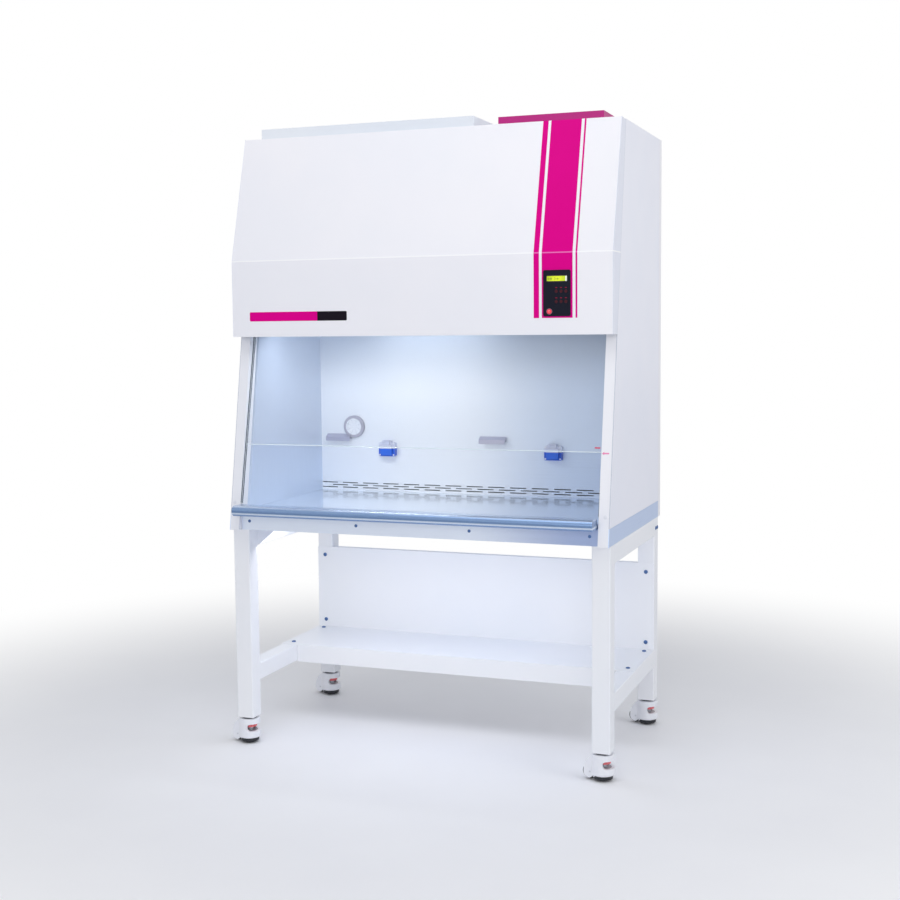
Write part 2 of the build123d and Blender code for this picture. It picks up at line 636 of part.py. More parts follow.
# ---------------------------------------------------------------- work chamber
def liner():
    """Right stainless liner, from the base to the blower deck, with a ledge for the tray."""
    low = CABINET_BASE_Z + SHEET
    face_x = (LINER_X, LINER_X + SHEET)
    outline = [
        (front_y(low) + POST_DEPTH + SEAM, low),
        (front_y(LINER_TOP_Z) + POST_DEPTH + SEAM, LINER_TOP_Z),
        (CHAMBER_BACK_Y + SHEET, LINER_TOP_Z),
        (CHAMBER_BACK_Y + SHEET, low),
    ]
    wall = across(outline, face_x)
    front_edge = [
        (front_y(low) + POST_DEPTH + SEAM, low),
        (front_y(LINER_TOP_Z) + POST_DEPTH + SEAM, LINER_TOP_Z),
        (front_y(LINER_TOP_Z) + POST_DEPTH + SEAM + SHEET, LINER_TOP_Z),
        (front_y(low) + POST_DEPTH + SEAM + SHEET, low),
    ]
    flange = across(front_edge, (LINER_X + SHEET, POST_INNER_X + POST_WIDTH / 2))
    ledge_top = WORK_Z - SHEET
    ledge = block(
        (LINER_X - LEDGE_WIDTH, LINER_X),
        (front_y(ledge_top) + POST_DEPTH + 6, CHAMBER_BACK_Y - 1),
        (ledge_top - SHEET, ledge_top),
    )
    shelf_top = DIFFUSER_Z - SHEET
    upper_ledge = block(
        (LINER_X - UPPER_LEDGE_WIDTH, LINER_X),
        (front_y(shelf_top) + POST_DEPTH + 12, CHAMBER_BACK_Y - 1),
        (shelf_top - SHEET, shelf_top),
    )
    return wall + flange + ledge + upper_ledge


def inner_back_wall():
    """Rear wall of the chamber with three staggered rows of exhaust slots."""
    wall = block(
        (-LINER_X, LINER_X),
        (CHAMBER_BACK_Y, CHAMBER_BACK_Y + SHEET),
        (CABINET_BASE_Z + SHEET, LINER_TOP_Z),
    )
    cuts = []
    room = 2 * (LINER_X - SLOT_MARGIN) + SLOT_PITCH - SLOT_LENGTH
    for row in range(SLOT_ROWS):
        z = WORK_Z + SLOT_ROW_LOW + row * SLOT_ROW_STEP
        count = int(room / SLOT_PITCH) - row % 2
        for i in range(count):
            x = (i - (count - 1) / 2) * SLOT_PITCH
            cuts.append(
                block(
                    (x - SLOT_LENGTH / 2, x + SLOT_LENGTH / 2),
                    (CHAMBER_BACK_Y - 1, CHAMBER_BACK_Y + SHEET + 1),
                    (z - SLOT_HEIGHT / 2, z + SLOT_HEIGHT / 2),
                )
            )
    port = rod_y(PORT_X, PORT_Z, PORT_BORE_RADIUS, (CHAMBER_BACK_Y - 1, CHAMBER_BACK_Y + SHEET + 1))
    return wall - cuts - port


def work_tray():
    """Work surface with folded edges, and the front intake grille in one piece with it."""
    half = LINER_X - TRAY_CLEARANCE
    front = sash_y(WORK_Z) - SHEET
    grille_back = front + GRILLE_DEPTH
    plate = block((-half, half), (front, CHAMBER_BACK_Y - SEAM), (WORK_Z - SHEET, WORK_Z))
    skirt = block(
        (TRAY_SKIRT_END - half, half - TRAY_SKIRT_END),
        (grille_back, grille_back + SHEET),
        (WORK_Z - TRAY_SKIRT, WORK_Z - SHEET),
    )
    tray = plate + skirt
    corner = block(
        (POST_INNER_X - 9, HALF),
        (front - 1, front_y(WORK_Z) + POST_DEPTH + 8),
        (WORK_Z - 5, WORK_Z + 5),
    )
    pitch = 2 * (half - GRILLE_END) / GRILLE_COUNT
    cuts = []
    for row in (1, 2):
        y = front + row * GRILLE_DEPTH / 3
        for i in range(GRILLE_COUNT):
            x = (i - (GRILLE_COUNT - 1) / 2) * pitch
            cuts.append(
                block(
                    (x - pitch * 0.38, x + pitch * 0.38),
                    (y - GRILLE_SLOT / 2, y + GRILLE_SLOT / 2),
                    (WORK_Z - SHEET - 1, WORK_Z + 1),
                )
            )
    return tray - corner - mirrored(corner) - cuts


def air_diffuser():
    """Frame over the chamber that spreads the down-flow."""
    front = front_y(DIFFUSER_Z) + POST_DEPTH + UPPER_LEDGE_WIDTH
    half = LINER_X - TRAY_CLEARANCE
    plate = block((-half, half), (front, CHAMBER_BACK_Y - SEAM), (DIFFUSER_Z - SHEET, DIFFUSER_Z))
    bay = 2 * (half - DIFFUSER_RIM) / DIFFUSER_BAYS
    bar = DIFFUSER_RIM / 4
    cuts = []
    for i in range(DIFFUSER_BAYS):
        x = i * bay + DIFFUSER_RIM - half
        depth = (front + DIFFUSER_RIM, CHAMBER_BACK_Y - DIFFUSER_RIM)
        cuts.append(block((x + bar, x + bay - bar), depth, (DIFFUSER_Z - 5, DIFFUSER_Z - SHEET / 2)))
    return plate - cuts


def filter_block(x, y, z):
    """A HEPA filter: a frame with its pleated pack set back from both faces."""
    body = block(x, y, z)
    inner_x = (x[0] + FILTER_FRAME, x[1] - FILTER_FRAME)
    inner_y = (y[0] + FILTER_FRAME, y[1] - FILTER_FRAME)
    body -= block(inner_x, inner_y, (z[0] - 1, z[0] + FILTER_RECESS))
    body -= block(inner_x, inner_y, (z[1] - FILTER_RECESS, z[1] + 1))
    return body


def supply_filter():
    front = front_y(LINER_TOP_Z) + POST_DEPTH + FILTER_FRONT_GAP
    return filter_block(
        (-LINER_X + 10, LINER_X - 10),
        (front, CHAMBER_BACK_Y - 6),
        (LINER_TOP_Z - SUPPLY_FILTER_HEIGHT, LINER_TOP_Z),
    )


def exhaust_filter():
    x0, x1, y0, y1 = exhaust_opening()
    top = TOP_Z - SHEET
    lap = FILTER_FRAME * 2 / 3
    x, y = (x0 - lap, x1 + lap), (y0 - lap, y1 + lap)
    return filter_block(x, y, (top - EXHAUST_FILTER_HEIGHT, top))


# ---------------------------------------------------------------- fittings in the chamber
def service_port():
    """Round plug port in the back wall: flange ring, sleeve and cap."""
    wall = CHAMBER_BACK_Y
    bore = PORT_BORE_RADIUS - SHEET
    ring = rod_y(PORT_X, PORT_Z, PORT_RADIUS, (wall - PORT_FLANGE, wall))
    ring = fillet(ring.edges().group_by(Axis.Y)[0], PORT_FLANGE / 3)
    ring -= rod_y(PORT_X, PORT_Z, bore, (wall - PORT_FLANGE - 1, wall + 1))
    sleeve = rod_y(PORT_X, PORT_Z, PORT_BORE_RADIUS, (wall, wall + PORT_SLEEVE))
    sleeve -= rod_y(PORT_X, PORT_Z, bore, (wall - 1, wall + PORT_SLEEVE + 1))
    cap = rod_y(PORT_X, PORT_Z, bore, (wall - PORT_FLANGE / 2, wall + PORT_FLANGE))
    return [ring + sleeve, cap]


def lift_handle(x):
    """Folded grip on the slotted wall, open underneath."""
    z0, z1 = HANDLE_LOW_Z, HANDLE_LOW_Z + HANDLE_HEIGHT
    face = CHAMBER_BACK_Y - HANDLE_REACH
    bend = z1 - HANDLE_HEIGHT * 0.42
    outline = [
        (CHAMBER_BACK_Y, z1),
        (CHAMBER_BACK_Y - 6, z1),
        (face, bend),
        (face, z0),
        (face + SHEET, z0),
        (face + SHEET, bend - 1),
        (CHAMBER_BACK_Y - 6, z1 - SHEET - 1),
        (CHAMBER_BACK_Y - SHEET, z1 - SHEET - 1),
        (CHAMBER_BACK_Y - SHEET, z0 + 8),
        (CHAMBER_BACK_Y, z0 + 8),
    ]
    grip = across(outline, (x - HANDLE_WIDTH / 2, x + HANDLE_WIDTH / 2))
    room_y = (CHAMBER_BACK_Y - PORT_FLANGE - SEAM, CHAMBER_BACK_Y + 1)
    flange_room = rod_y(PORT_X, PORT_Z, PORT_RADIUS + SEAM, room_y)
    return grip - flange_room


def socket_body(x):
    """Splash-proof outlet: box on the wall with a well for the plug and a hinge block on top."""
    z0, z1 = SOCKET_LOW_Z, SOCKET_LOW_Z + SOCKET_HEIGHT
    half = SOCKET_WIDTH / 2
    wall = CHAMBER_BACK_Y
    box = block((x - half, x + half), (wall - SOCKET_DEPTH, wall), (z0, z1))
    box = fillet(box.edges().filter_by(Axis.Y), 5.0)
    centre_z = z0 + LID_HEIGHT / 2 + 3
    box -= rod_y(x, centre_z, LID_HEIGHT / 2 - 4, (wall - SOCKET_DEPTH - 1, wall - 5))
    ear_width = HINGE_EAR
    pivot_y, pivot_z = socket_pivot()
    for side in (-1, 1):
        ear_x = x + side * (HINGE_WIDTH / 2 - ear_width / 2)
        ear = block(
            (ear_x - ear_width / 2, ear_x + ear_width / 2),
            (pivot_y - HINGE_RADIUS, wall),
            (z1 - 6, pivot_z),
        )
        ear += rod_x(pivot_y, pivot_z, HINGE_RADIUS, (ear_x - ear_width / 2, ear_x + ear_width / 2))
        ear -= block((x - half, x + half), (wall - SOCKET_DEPTH, wall), (z0, z1 - 0.01))
        box += ear
    box += rod_x(pivot_y, pivot_z, HINGE_PIN_RADIUS, (x - HINGE_WIDTH / 2, x + HINGE_WIDTH / 2))
    return box


def socket_pivot():
    """Y and Z of the lid's hinge pin, in front of and above the box."""
    front = CHAMBER_BACK_Y - SOCKET_DEPTH
    return front - HINGE_RADIUS, SOCKET_LOW_Z + SOCKET_HEIGHT + HINGE_RADIUS + HINGE_PIN_RADIUS


def socket_lid(x):
    """Blue flap that hangs in front of the well."""
    face = CHAMBER_BACK_Y - SOCKET_DEPTH
    low = SOCKET_LOW_Z + 4
    pivot_y, pivot_z = socket_pivot()
    gap = 0.4
    flap = block(
        (x - LID_WIDTH / 2, x + LID_WIDTH / 2),
        (face - gap - LID_THICKNESS, face - gap),
        (low, low + LID_HEIGHT),
    )
    flap = fillet(flap.edges().filter_by(Axis.Y), 8.0)
    flap = chamfer(flap.faces().group_by(Axis.Y)[0].edges(), 1.5)
    knuckle_half = HINGE_WIDTH / 2 - HINGE_EAR - gap
    arm = block(
        (x - knuckle_half, x + knuckle_half),
        (face - gap - LID_THICKNESS + 2, face - gap),
        (low + LID_HEIGHT - 4, pivot_z),
    )
    knuckle = rod_x(pivot_y, pivot_z, HINGE_RADIUS, (x - knuckle_half, x + knuckle_half))
    pin_bore = rod_x(pivot_y, pivot_z, HINGE_PIN_RADIUS + RUNNING, (x - HINGE_WIDTH, x + HINGE_WIDTH))
    return flap + arm + knuckle - pin_bore


# ---------------------------------------------------------------- control panel
def control_panel():
    """Black bezel with openings for the display and keys, and its box behind the hood."""
    half = PANEL_WIDTH / 2
    z = (PANEL_LOW_Z, PANEL_LOW_Z + PANEL_HEIGHT)
    front = HOOD_FACE_Y - PANEL_THICKNESS
    bezel = block((PANEL_CENTRE_X - half, PANEL_CENTRE_X + half), (front, HOOD_FACE_Y), z)
    bezel = fillet(bezel.edges().filter_by(Axis.Y), PANEL_CORNER)
    bezel = chamfer(bezel.faces().group_by(Axis.Y)[0].edges(), 0.8)
    inset = RECESS_INSET + KEY_GAP / 2
    depth = PANEL_BOX_DEPTH
    wall = PANEL_BOX_WALL
    outer_x = (PANEL_CENTRE_X - half + inset, PANEL_CENTRE_X + half - inset)
    outer_z = (z[0] + inset, z[1] - inset)
    box = block(outer_x, (HOOD_FACE_Y, HOOD_FACE_Y + depth), outer_z)
    box -= block(
        (outer_x[0] + wall, outer_x[1] - wall),
        (HOOD_FACE_Y - 1, HOOD_FACE_Y + depth - wall),
        (outer_z[0] + wall, outer_z[1] - wall),
    )
    panel = bezel + box
    reach = (front - 1, HOOD_FACE_Y + 0.5)
    for x in KEY_X:
        for key_z in KEY_Z:
            panel -= rod_y(x, key_z, KEY_RADIUS + KEY_GAP, reach)
    panel -= rod_y(POWER_X, POWER_Z, POWER_RADIUS + KEY_GAP, reach)
    panel -= block(
        (PANEL_CENTRE_X - LCD_WIDTH / 2 - KEY_GAP, PANEL_CENTRE_X + LCD_WIDTH / 2 + KEY_GAP),
        reach,
        (LCD_LOW_Z - KEY_GAP, LCD_LOW_Z + LCD_HEIGHT + KEY_GAP),
    )
    return panel


def key_board_y():
    """Front face of the circuit board behind the keys."""
    return HOOD_FACE_Y + 1.5 + KEY_TRAVEL


def display():
    """Liquid crystal block on its circuit board, in the bezel's window."""
    board_y = key_board_y()
    screen = block(
        (PANEL_CENTRE_X - LCD_WIDTH / 2, PANEL_CENTRE_X + LCD_WIDTH / 2),
        (HOOD_FACE_Y - 1.5, board_y),
        (LCD_LOW_Z, LCD_LOW_Z + LCD_HEIGHT),
    )
    half = PANEL_WIDTH / 2 - 8.0
    board = block(
        (PANEL_CENTRE_X - half, PANEL_CENTRE_X + half),
        (board_y, board_y + 1.6),
        (PANEL_LOW_Z + 8, PANEL_LOW_Z + PANEL_HEIGHT - 8),
    )
    return screen + board


def key(x, z, radius, proud):
    """Round push key with a flange that keeps it behind the bezel."""
    cap = rod_y(x, z, radius, (HOOD_FACE_Y - PANEL_THICKNESS - proud, HOOD_FACE_Y + 0.1))
    cap = chamfer(cap.edges().group_by(Axis.Y)[0], 0.5)
    return cap + rod_y(x, z, radius + KEY_FLANGE, (HOOD_FACE_Y + 0.1, HOOD_FACE_Y + 1.3))


# ---------------------------------------------------------------- top boxes
def exhaust_box():
    """Low collar over the exhaust filter, open at the top."""
    x0, x1, y0, y1 = EXHAUST_BOX
    z = (TOP_Z, TOP_Z + EXHAUST_BOX_HEIGHT)
    rim = EXHAUST_RIM
    under = (z[0] - 1, z[1] - SHEET)
    hole = block((x0 + rim, x1 - rim), (y0 + rim, y1 - rim), (z[0] - 1, z[1] + 1))
    core = block((x0 + rim - SHEET, x1 - rim + SHEET), (y0 + rim - SHEET, y1 - rim + SHEET), under)
    channel = block((x0 + SHEET, x1 - SHEET), (y0 + SHEET, y1 - SHEET), under) - core
    return block((x0, x1), (y0, y1), z) - channel - hole


def control_box():
    """Coloured cover over the wiring on the cabinet's top."""
    x0, x1, y0, y1 = CONTROL_BOX
    z = (TOP_Z, TOP_Z + CONTROL_BOX_HEIGHT)
    cover = block((x0, x1), (y0, y1), z)
    return cover - block((x0 + SHEET, x1 - SHEET), (y0 + SHEET, y1 - SHEET), (z[0] - 1, z[1] - SHEET))


# ---------------------------------------------------------------- blower and lamp
def motor_x():
    """Near and far end of the motor along the blower's shaft."""
    near = IMPELLER_WIDTH / 2 + SCROLL_CLEARANCE + SHEET + MOTOR_GAP
    return near, near + MOTOR_LENGTH


def scroll(extra, half_width, floor):
    """Round blower casing with its mouth to the front, down to a floor height."""
    drum = rod_x(BLOWER_Y, BLOWER_Z, SCROLL_RADIUS + extra, (-half_width, half_width))
    mouth = (BLOWER_Y - SCROLL_RADIUS - extra, BLOWER_Y + extra)
    return drum + block((-half_width, half_width), mouth, (floor, BLOWER_Z))


def blower_housing():
    """Deck over the supply filter with the scroll and its motor on it."""
    front = front_y(LINER_TOP_Z) + POST_DEPTH + FILTER_FRONT_GAP
    deck_x = (-LINER_X - SHEET, LINER_X + SHEET)
    deck = block(deck_x, (front, CHAMBER_BACK_Y + SHEET), (LINER_TOP_Z, BLOWER_DECK_Z))
    half = IMPELLER_WIDTH / 2 + SCROLL_CLEARANCE
    shell = scroll(SHEET, half + SHEET, BLOWER_DECK_Z) - scroll(0, half, BLOWER_DECK_Z - 5)
    shell -= rod_x(BLOWER_Y, BLOWER_Z, SCROLL_INLET_RADIUS, (-half - 20, half + 20))
    outlet = (BLOWER_Y - SCROLL_RADIUS, BLOWER_Y)
    deck -= block((-half, half), outlet, (LINER_TOP_Z - 1, BLOWER_DECK_Z + 1))
    x0, x1 = motor_x()
    motor = rod_x(BLOWER_Y, BLOWER_Z, MOTOR_RADIUS, (x0, x1))
    motor += block(
        (x0 + CRADLE_INSET, x1 - CRADLE_INSET),
        (BLOWER_Y - CRADLE_HALF_WIDTH, BLOWER_Y + CRADLE_HALF_WIDTH),
        (BLOWER_DECK_Z, BLOWER_Z - CRADLE_DROP),
    )
    motor -= rod_x(BLOWER_Y, BLOWER_Z, BLOWER_SHAFT_RADIUS + RUNNING, (x0 - 1, x1 + 1))
    return [shell + deck, motor]


def blower_impeller():
    """Forward-curved wheel: back plate, blades, two rings and its shaft."""
    half = IMPELLER_WIDTH / 2
    wheel = rod_x(BLOWER_Y, BLOWER_Z, IMPELLER_RADIUS, (-SHEET, SHEET))
    for x in (-half, half - IMPELLER_RING):
        ring = rod_x(BLOWER_Y, BLOWER_Z, IMPELLER_RADIUS, (x, x + IMPELLER_RING))
        wheel += ring - rod_x(BLOWER_Y, BLOWER_Z, IMPELLER_EYE, (x - 1, x + IMPELLER_RING + 1))
    thick = BLADE_THICKNESS / 2
    chord = block((-half, half), (IMPELLER_EYE + 1, IMPELLER_RADIUS - 1), (-thick, thick))
    for i in range(IMPELLER_BLADES):
        turn = 360 * i / IMPELLER_BLADES + BLADE_ANGLE
        wheel += Pos(0, BLOWER_Y, BLOWER_Z) * Rot(turn, 0, 0) * chord
    wheel += rod_x(BLOWER_Y, BLOWER_Z, HUB_RADIUS, (-HUB_LENGTH / 2, HUB_LENGTH / 2))
    shaft_end = motor_x()[1] - BLOWER_SHAFT_RADIUS
    return wheel + rod_x(BLOWER_Y, BLOWER_Z, BLOWER_SHAFT_RADIUS, (-HUB_LENGTH / 2, shaft_end))


def lamp():
    """Fluorescent lamp behind the hood, in front of the glass."""
    half = POST_INNER_X - LAMP_END_GAP
    back = HOOD_FACE_Y + SHEET
    z = HOOD_BOTTOM_Z + LAMP_RISE
    tube_y = back + LAMP_TUBE_SETBACK
    tube_z = z - LAMP_TUBE_DROP
    tray = block((-half, half), (back, back + LAMP_TRAY_DEPTH), (z, z + SHEET))
    web = block((-half, half), (back, back + SHEET), (z - 1.5 * LAMP_TUBE_DROP, z))
    holder_x = (half - 1.5 * LAMP_HOLDER, half - LAMP_HOLDER / 2)
    tube = rod_x(tube_y, tube_z, LAMP_TUBE_RADIUS, (-holder_x[0], holder_x[0]))
    reach = LAMP_HOLDER - SHEET
    holder = block(holder_x, (tube_y - reach, tube_y + reach), (tube_z - LAMP_HOLDER, z))
    return [tray + web, tube, holder, mirrored(holder)]


# ---------------------------------------------------------------- stand
def tube_solid(x, y, z, along):
    """A square tube's outside, with round corners along its length."""
    body = block(x, y, z)
    return fillet(body.edges().filter_by(along), TUBE_CORNER)


def stand_side():
    """Right welded frame: two legs, top rail with its bolting plate, and low rail."""
    x = (HALF - TUBE, HALF)
    inner_x = (x[0] + TUBE_WALL, x[1] - TUBE_WALL)
    frame = None
    for y0 in (LEG_FRONT_Y, LEG_BACK_Y - TUBE):
        y = (y0, y0 + TUBE)
        inner_y = (y[0] + TUBE_WALL, y[1] - TUBE_WALL)
        leg = tube_solid(x, y, (LEG_FOOT_Z, STAND_TOP_Z), Axis.Z)
        leg -= block(inner_x, inner_y, (LEG_FOOT_Z + LEG_END_PLATE, STAND_TOP_Z - TUBE_WALL))
        hole = (LEG_FOOT_Z - 1, LEG_FOOT_Z + LEG_END_PLATE + 1)
        leg -= rod_z(LEG_CENTRE_X, y0 + TUBE / 2, STEM_RADIUS + RUNNING, hole)
        frame = leg if frame is None else frame + leg
    between = (LEG_FRONT_Y + TUBE, LEG_BACK_Y - TUBE)
    weld = (between[0] - TUBE_CORNER / 2, between[1] + TUBE_CORNER / 2)
    for top in (STAND_TOP_Z, LOW_RAIL_TOP_Z):
        rail = tube_solid(x, weld, (top - TUBE, top), Axis.Y)
        inner_z = (top - TUBE + TUBE_WALL, top - TUBE_WALL)
        rail -= block(inner_x, (weld[0] - 1, weld[1] + 1), inner_z)
        frame += rail
    cap = block(x, (LEG_FRONT_Y, LEG_BACK_Y), (STAND_TOP_Z, CABINET_BASE_Z))
    return frame + cap


def stand_shelf():
    """Folded shelf whose top sheet lies on the low rails; lips stiffen front and back."""
    top = block((-HALF, HALF), (SHELF_FRONT_Y, SHELF_BACK_Y), (LOW_RAIL_TOP_Z, SHELF_TOP_Z))
    inner = HALF - TUBE - 1.0
    shelf = top
    for y in (SHELF_FRONT_Y, SHELF_BACK_Y - SHEET):
        shelf += block((-inner, inner), (y, y + SHEET), (SHELF_TOP_Z - SHELF_LIP, LOW_RAIL_TOP_Z))
    for x, y in shelf_bolts():
        shelf -= rod_z(x, y, 4.0 + RUNNING, (LOW_RAIL_TOP_Z - 1, SHELF_TOP_Z + 1))
    return shelf


def shelf_bolts():
    rows = (SHELF_FRONT_Y + SHELF_BOLT_FRONT, SHELF_BACK_Y - SHELF_BOLT_BACK)
    return [(side * LEG_CENTRE_X, y) for side in (-1, 1) for y in rows]


def stand_back_panel():
    """Painted panel across the back legs, with a folded top edge."""
    face = LEG_BACK_Y - TUBE
    sheet = block((-HALF, HALF), (face - SHEET, face), (SHELF_TOP_Z, PANEL_TOP_Z))
    inner = HALF - TUBE - 1.0
    fold = block((-inner, inner), (face, face + PANEL_FLANGE), (PANEL_TOP_Z - SHEET, PANEL_TOP_Z))
    panel = sheet + fold
    for x, z in panel_screws():
        panel -= rod_y(x, z, 3.0 + RUNNING, (face - SHEET - 1, face + 1))
    return panel


def panel_screws():
    rows = (SHELF_TOP_Z + PANEL_SCREW_LOW, PANEL_TOP_Z - PANEL_SCREW_HIGH)
    return [(side * LEG_CENTRE_X, z) for side in (-1, 1) for z in rows]


def dome(radius, height):
    """Domed screw head on the XY plane, pointing up."""
    body = Pos(0, 0, height / 2) * Cylinder(radius, height)
    return chamfer(body.edges().group_by(Axis.Z)[-1], height / 2)


def fasteners():
    """Fascia screws, shelf bolts, panel screws, frame bolts and the posts' plug caps."""
    shapes = []
    to_front = Rot(90, 0, 0)
    for x in fascia_screw_x():
        screw = dome(4.0, 2.5) + rod_z(0, 0, 2.2, (-SHEET, 0))
        shapes.append(Pos(x, FASCIA_Y, fascia_screw_z()) * to_front * screw)
    for x, y in shelf_bolts():
        shapes.append(Pos(x, y, SHELF_TOP_Z) * (dome(7.5, 5.0) + rod_z(0, 0, 4.0, (-SHEET, 0))))
    face = LEG_BACK_Y - TUBE - SHEET
    for x, z in panel_screws():
        shapes.append(Pos(x, face, z) * to_front * (dome(7.0, 4.5) + rod_z(0, 0, 3.0, (-SHEET, 0))))
    for side in (-1, 1):
        for offset in (-FRAME_BOLT_HALF_PITCH, FRAME_BOLT_HALF_PITCH):
            head = Rot(0, 90 * side, 0) * dome(6.5, 4.0)
            y = LEG_BACK_Y - TUBE / 2 + offset
            shapes.append(Pos(side * HALF, y, STAND_TOP_Z - FRAME_BOLT_DROP) * head)
        cap_z = ARM_REST_TOP_Z + 3.0
        cap = Rot(90 - FRONT_LEAN, 0, 0) * dome(6.0, 1.6)
        shapes.append(Pos(side * (INSIDE - POST_WIDTH * 0.35), front_y(cap_z), cap_z) * cap)
    return shapes


# ---------------------------------------------------------------- levelling casters
def caster_mount(x, y):
    """Bearing disc under the leg, with its threaded stem above and kingpin below."""
    disc = rod_z(x, y, BEARING_RADIUS, (HOUSING_TOP_Z + BEARING_GAP, LEG_FOOT_Z))
    stem = rod_z(x, y, STEM_RADIUS, (LEG_FOOT_Z, LEG_FOOT_Z + STEM_LENGTH))
    kingpin = rod_z(x, y, PIN_RADIUS, (WINDOW_HIGH_Z + 3, HOUSING_TOP_Z + BEARING_GAP))
    return disc + stem + kingpin


def caster_housing(x, y):
    """White housing: round body with the thumbwheel's window, and two cheeks for the wheel."""
    height = HOUSING_TOP_Z - HOUSING_BOTTOM_Z
    body = Cone(HOUSING_RADIUS + HOUSING_FLARE, HOUSING_RADIUS, height)
    body = Pos(0, 0, HOUSING_BOTTOM_Z + height / 2) * body
    body = chamfer(body.edges().filter_by(GeomType.CIRCLE).group_by(Axis.Z)[0], 4.0)
    body = fillet(body.edges().filter_by(GeomType.CIRCLE).group_by(Axis.Z)[-1], 3.0)
    slot_half = WHEEL_WIDTH / 2 + WHEEL_SIDE_CLEARANCE
    cheek_half = slot_half + CHEEK_THICKNESS
    low = WHEEL_Z - CHEEK_RADIUS
    rim = WHEEL_TRAIL + CHEEK_RADIUS
    shoulder = 8.0
    with BuildSketch(Plane.XZ) as side:
        with BuildLine():
            Line((0, HOUSING_BOTTOM_Z), (-WHEEL_TRAIL + 0.8 * CHEEK_RADIUS, HOUSING_BOTTOM_Z))
            Line((-WHEEL_TRAIL + 0.8 * CHEEK_RADIUS, HOUSING_BOTTOM_Z), (-WHEEL_TRAIL, low))
            ThreePointArc(
                (-WHEEL_TRAIL, low),
                (-WHEEL_TRAIL - CHEEK_RADIUS * 0.707, WHEEL_Z - CHEEK_RADIUS * 0.707),
                (-rim, WHEEL_Z),
            )
            ThreePointArc(
                (-rim, WHEEL_Z),
                (-WHEEL_TRAIL - 9.0, HOUSING_TOP_Z - 19.0),
                (-HOUSING_RADIUS + shoulder, HOUSING_TOP_Z - 1),
            )
            Line((-HOUSING_RADIUS + shoulder, HOUSING_TOP_Z - 1), (0, HOUSING_TOP_Z - 1))
            Line((0, HOUSING_TOP_Z - 1), (0, HOUSING_BOTTOM_Z))
        make_face()
    cheeks = extrude(side.sketch, amount=cheek_half, both=True)
    shell = body + cheeks
    clear = WHEEL_RADIUS + WHEEL_CLEARANCE
    wheel_room = rod_y(-WHEEL_TRAIL, WHEEL_Z, clear, (-slot_half, slot_half))
    wheel_room += block((-WHEEL_TRAIL - clear, -WHEEL_TRAIL + clear), (-slot_half, slot_half), (0, WHEEL_Z))
    shell -= wheel_room
    cavity_radius = THUMB_RADIUS + 2.0
    shell -= rod_z(0, 0, cavity_radius, (WINDOW_LOW_Z, WINDOW_HIGH_Z))
    beyond = 1.5 * HOUSING_RADIUS
    window = block((WINDOW_EDGE_X, beyond), (-beyond, beyond), (WINDOW_LOW_Z, WINDOW_HIGH_Z))
    corner_edges = window.edges().filter_by(Axis.Y).group_by(Axis.X)[0]
    shell -= fillet(corner_edges, (WINDOW_HIGH_Z - WINDOW_LOW_Z) * 0.45)
    shell -= rod_z(0, 0, PIN_RADIUS + RUNNING, (WINDOW_HIGH_Z - 1, HOUSING_TOP_Z + 1))
    shell -= rod_z(0, 0, FOOT_STEM_RADIUS + RUNNING, (HOUSING_BOTTOM_Z - 1, WINDOW_LOW_Z + 1))
    axle = rod_y(-WHEEL_TRAIL, WHEEL_Z, AXLE_RADIUS, (-cheek_half, cheek_half))
    shell -= axle
    skirt = rod_z(0, 0, SKIRT_RADIUS, (SKIRT_BOTTOM_Z, HOUSING_BOTTOM_Z))
    skirt = chamfer(skirt.edges().group_by(Axis.Z)[0], 3.0)
    skirt -= rod_z(0, 0, FOOT_RADIUS + 1.0, (SKIRT_BOTTOM_Z - 1, HOUSING_BOTTOM_Z + 1))
    skirt -= wheel_room
    place = Pos(x, y, 0)
    return [place * piece for piece in (shell, skirt, axle)]


def caster_wheel(x, y):
    """Tyre and hub turned in one, with a running bore."""
    half = WHEEL_WIDTH / 2
    bore = AXLE_RADIUS + RUNNING
    hub = WHEEL_RADIUS * 0.42
    profile = [
        (bore, -half - 1),
        (hub, -half - 1),
        (hub, -half),
        (WHEEL_RADIUS - TREAD_CHAMFER, -half),
        (WHEEL_RADIUS, TREAD_CHAMFER - half),
        (WHEEL_RADIUS, half - TREAD_CHAMFER),
        (WHEEL_RADIUS - TREAD_CHAMFER, half),
        (hub, half),
        (hub, half + 1),
        (bore, half + 1),
    ]
    face = make_face(Plane.XZ * Polyline(*profile, close=True))
    turned = revolve(face, Axis.Z)
    return Pos(x - WHEEL_TRAIL, y, WHEEL_Z) * Rot(90, 0, 0) * turned


def caster_thumbwheel(x, y):
    """Toothed wheel in the window: turning it drives the foot's screw."""
    top = WINDOW_HIGH_Z - 1.0
    disc = rod_z(0, 0, THUMB_RADIUS, (top - THUMB_HEIGHT, top))
    notch = rod_z(THUMB_RADIUS, 0, THUMB_NOTCH, (top - THUMB_HEIGHT - 1, top + 1))
    disc -= [Rot(0, 0, 360 * i / THUMB_TEETH) * notch for i in range(THUMB_TEETH)]
    hub = rod_z(0, 0, THUMB_HUB_RADIUS, (WINDOW_LOW_Z + 0.5, top - THUMB_HEIGHT))
    turned = disc + hub - rod_z(0, 0, FOOT_STEM_RADIUS + RUNNING, (WINDOW_LOW_Z - 1, top + 1))
    return Pos(x, y, 0) * turned


def caster_foot(x, y):
    """Rubber foot on its screw."""
    pad = rod_z(0, 0, FOOT_RADIUS, (0, FOOT_THICKNESS))
    pad = chamfer(pad.edges().group_by(Axis.Z)[0], 1.5)
    stem_top = WINDOW_HIGH_Z - FOOT_TRAVEL - 1.5
    return Pos(x, y, 0) * (pad + rod_z(0, 0, FOOT_STEM_RADIUS, (FOOT_THICKNESS, stem_top)))


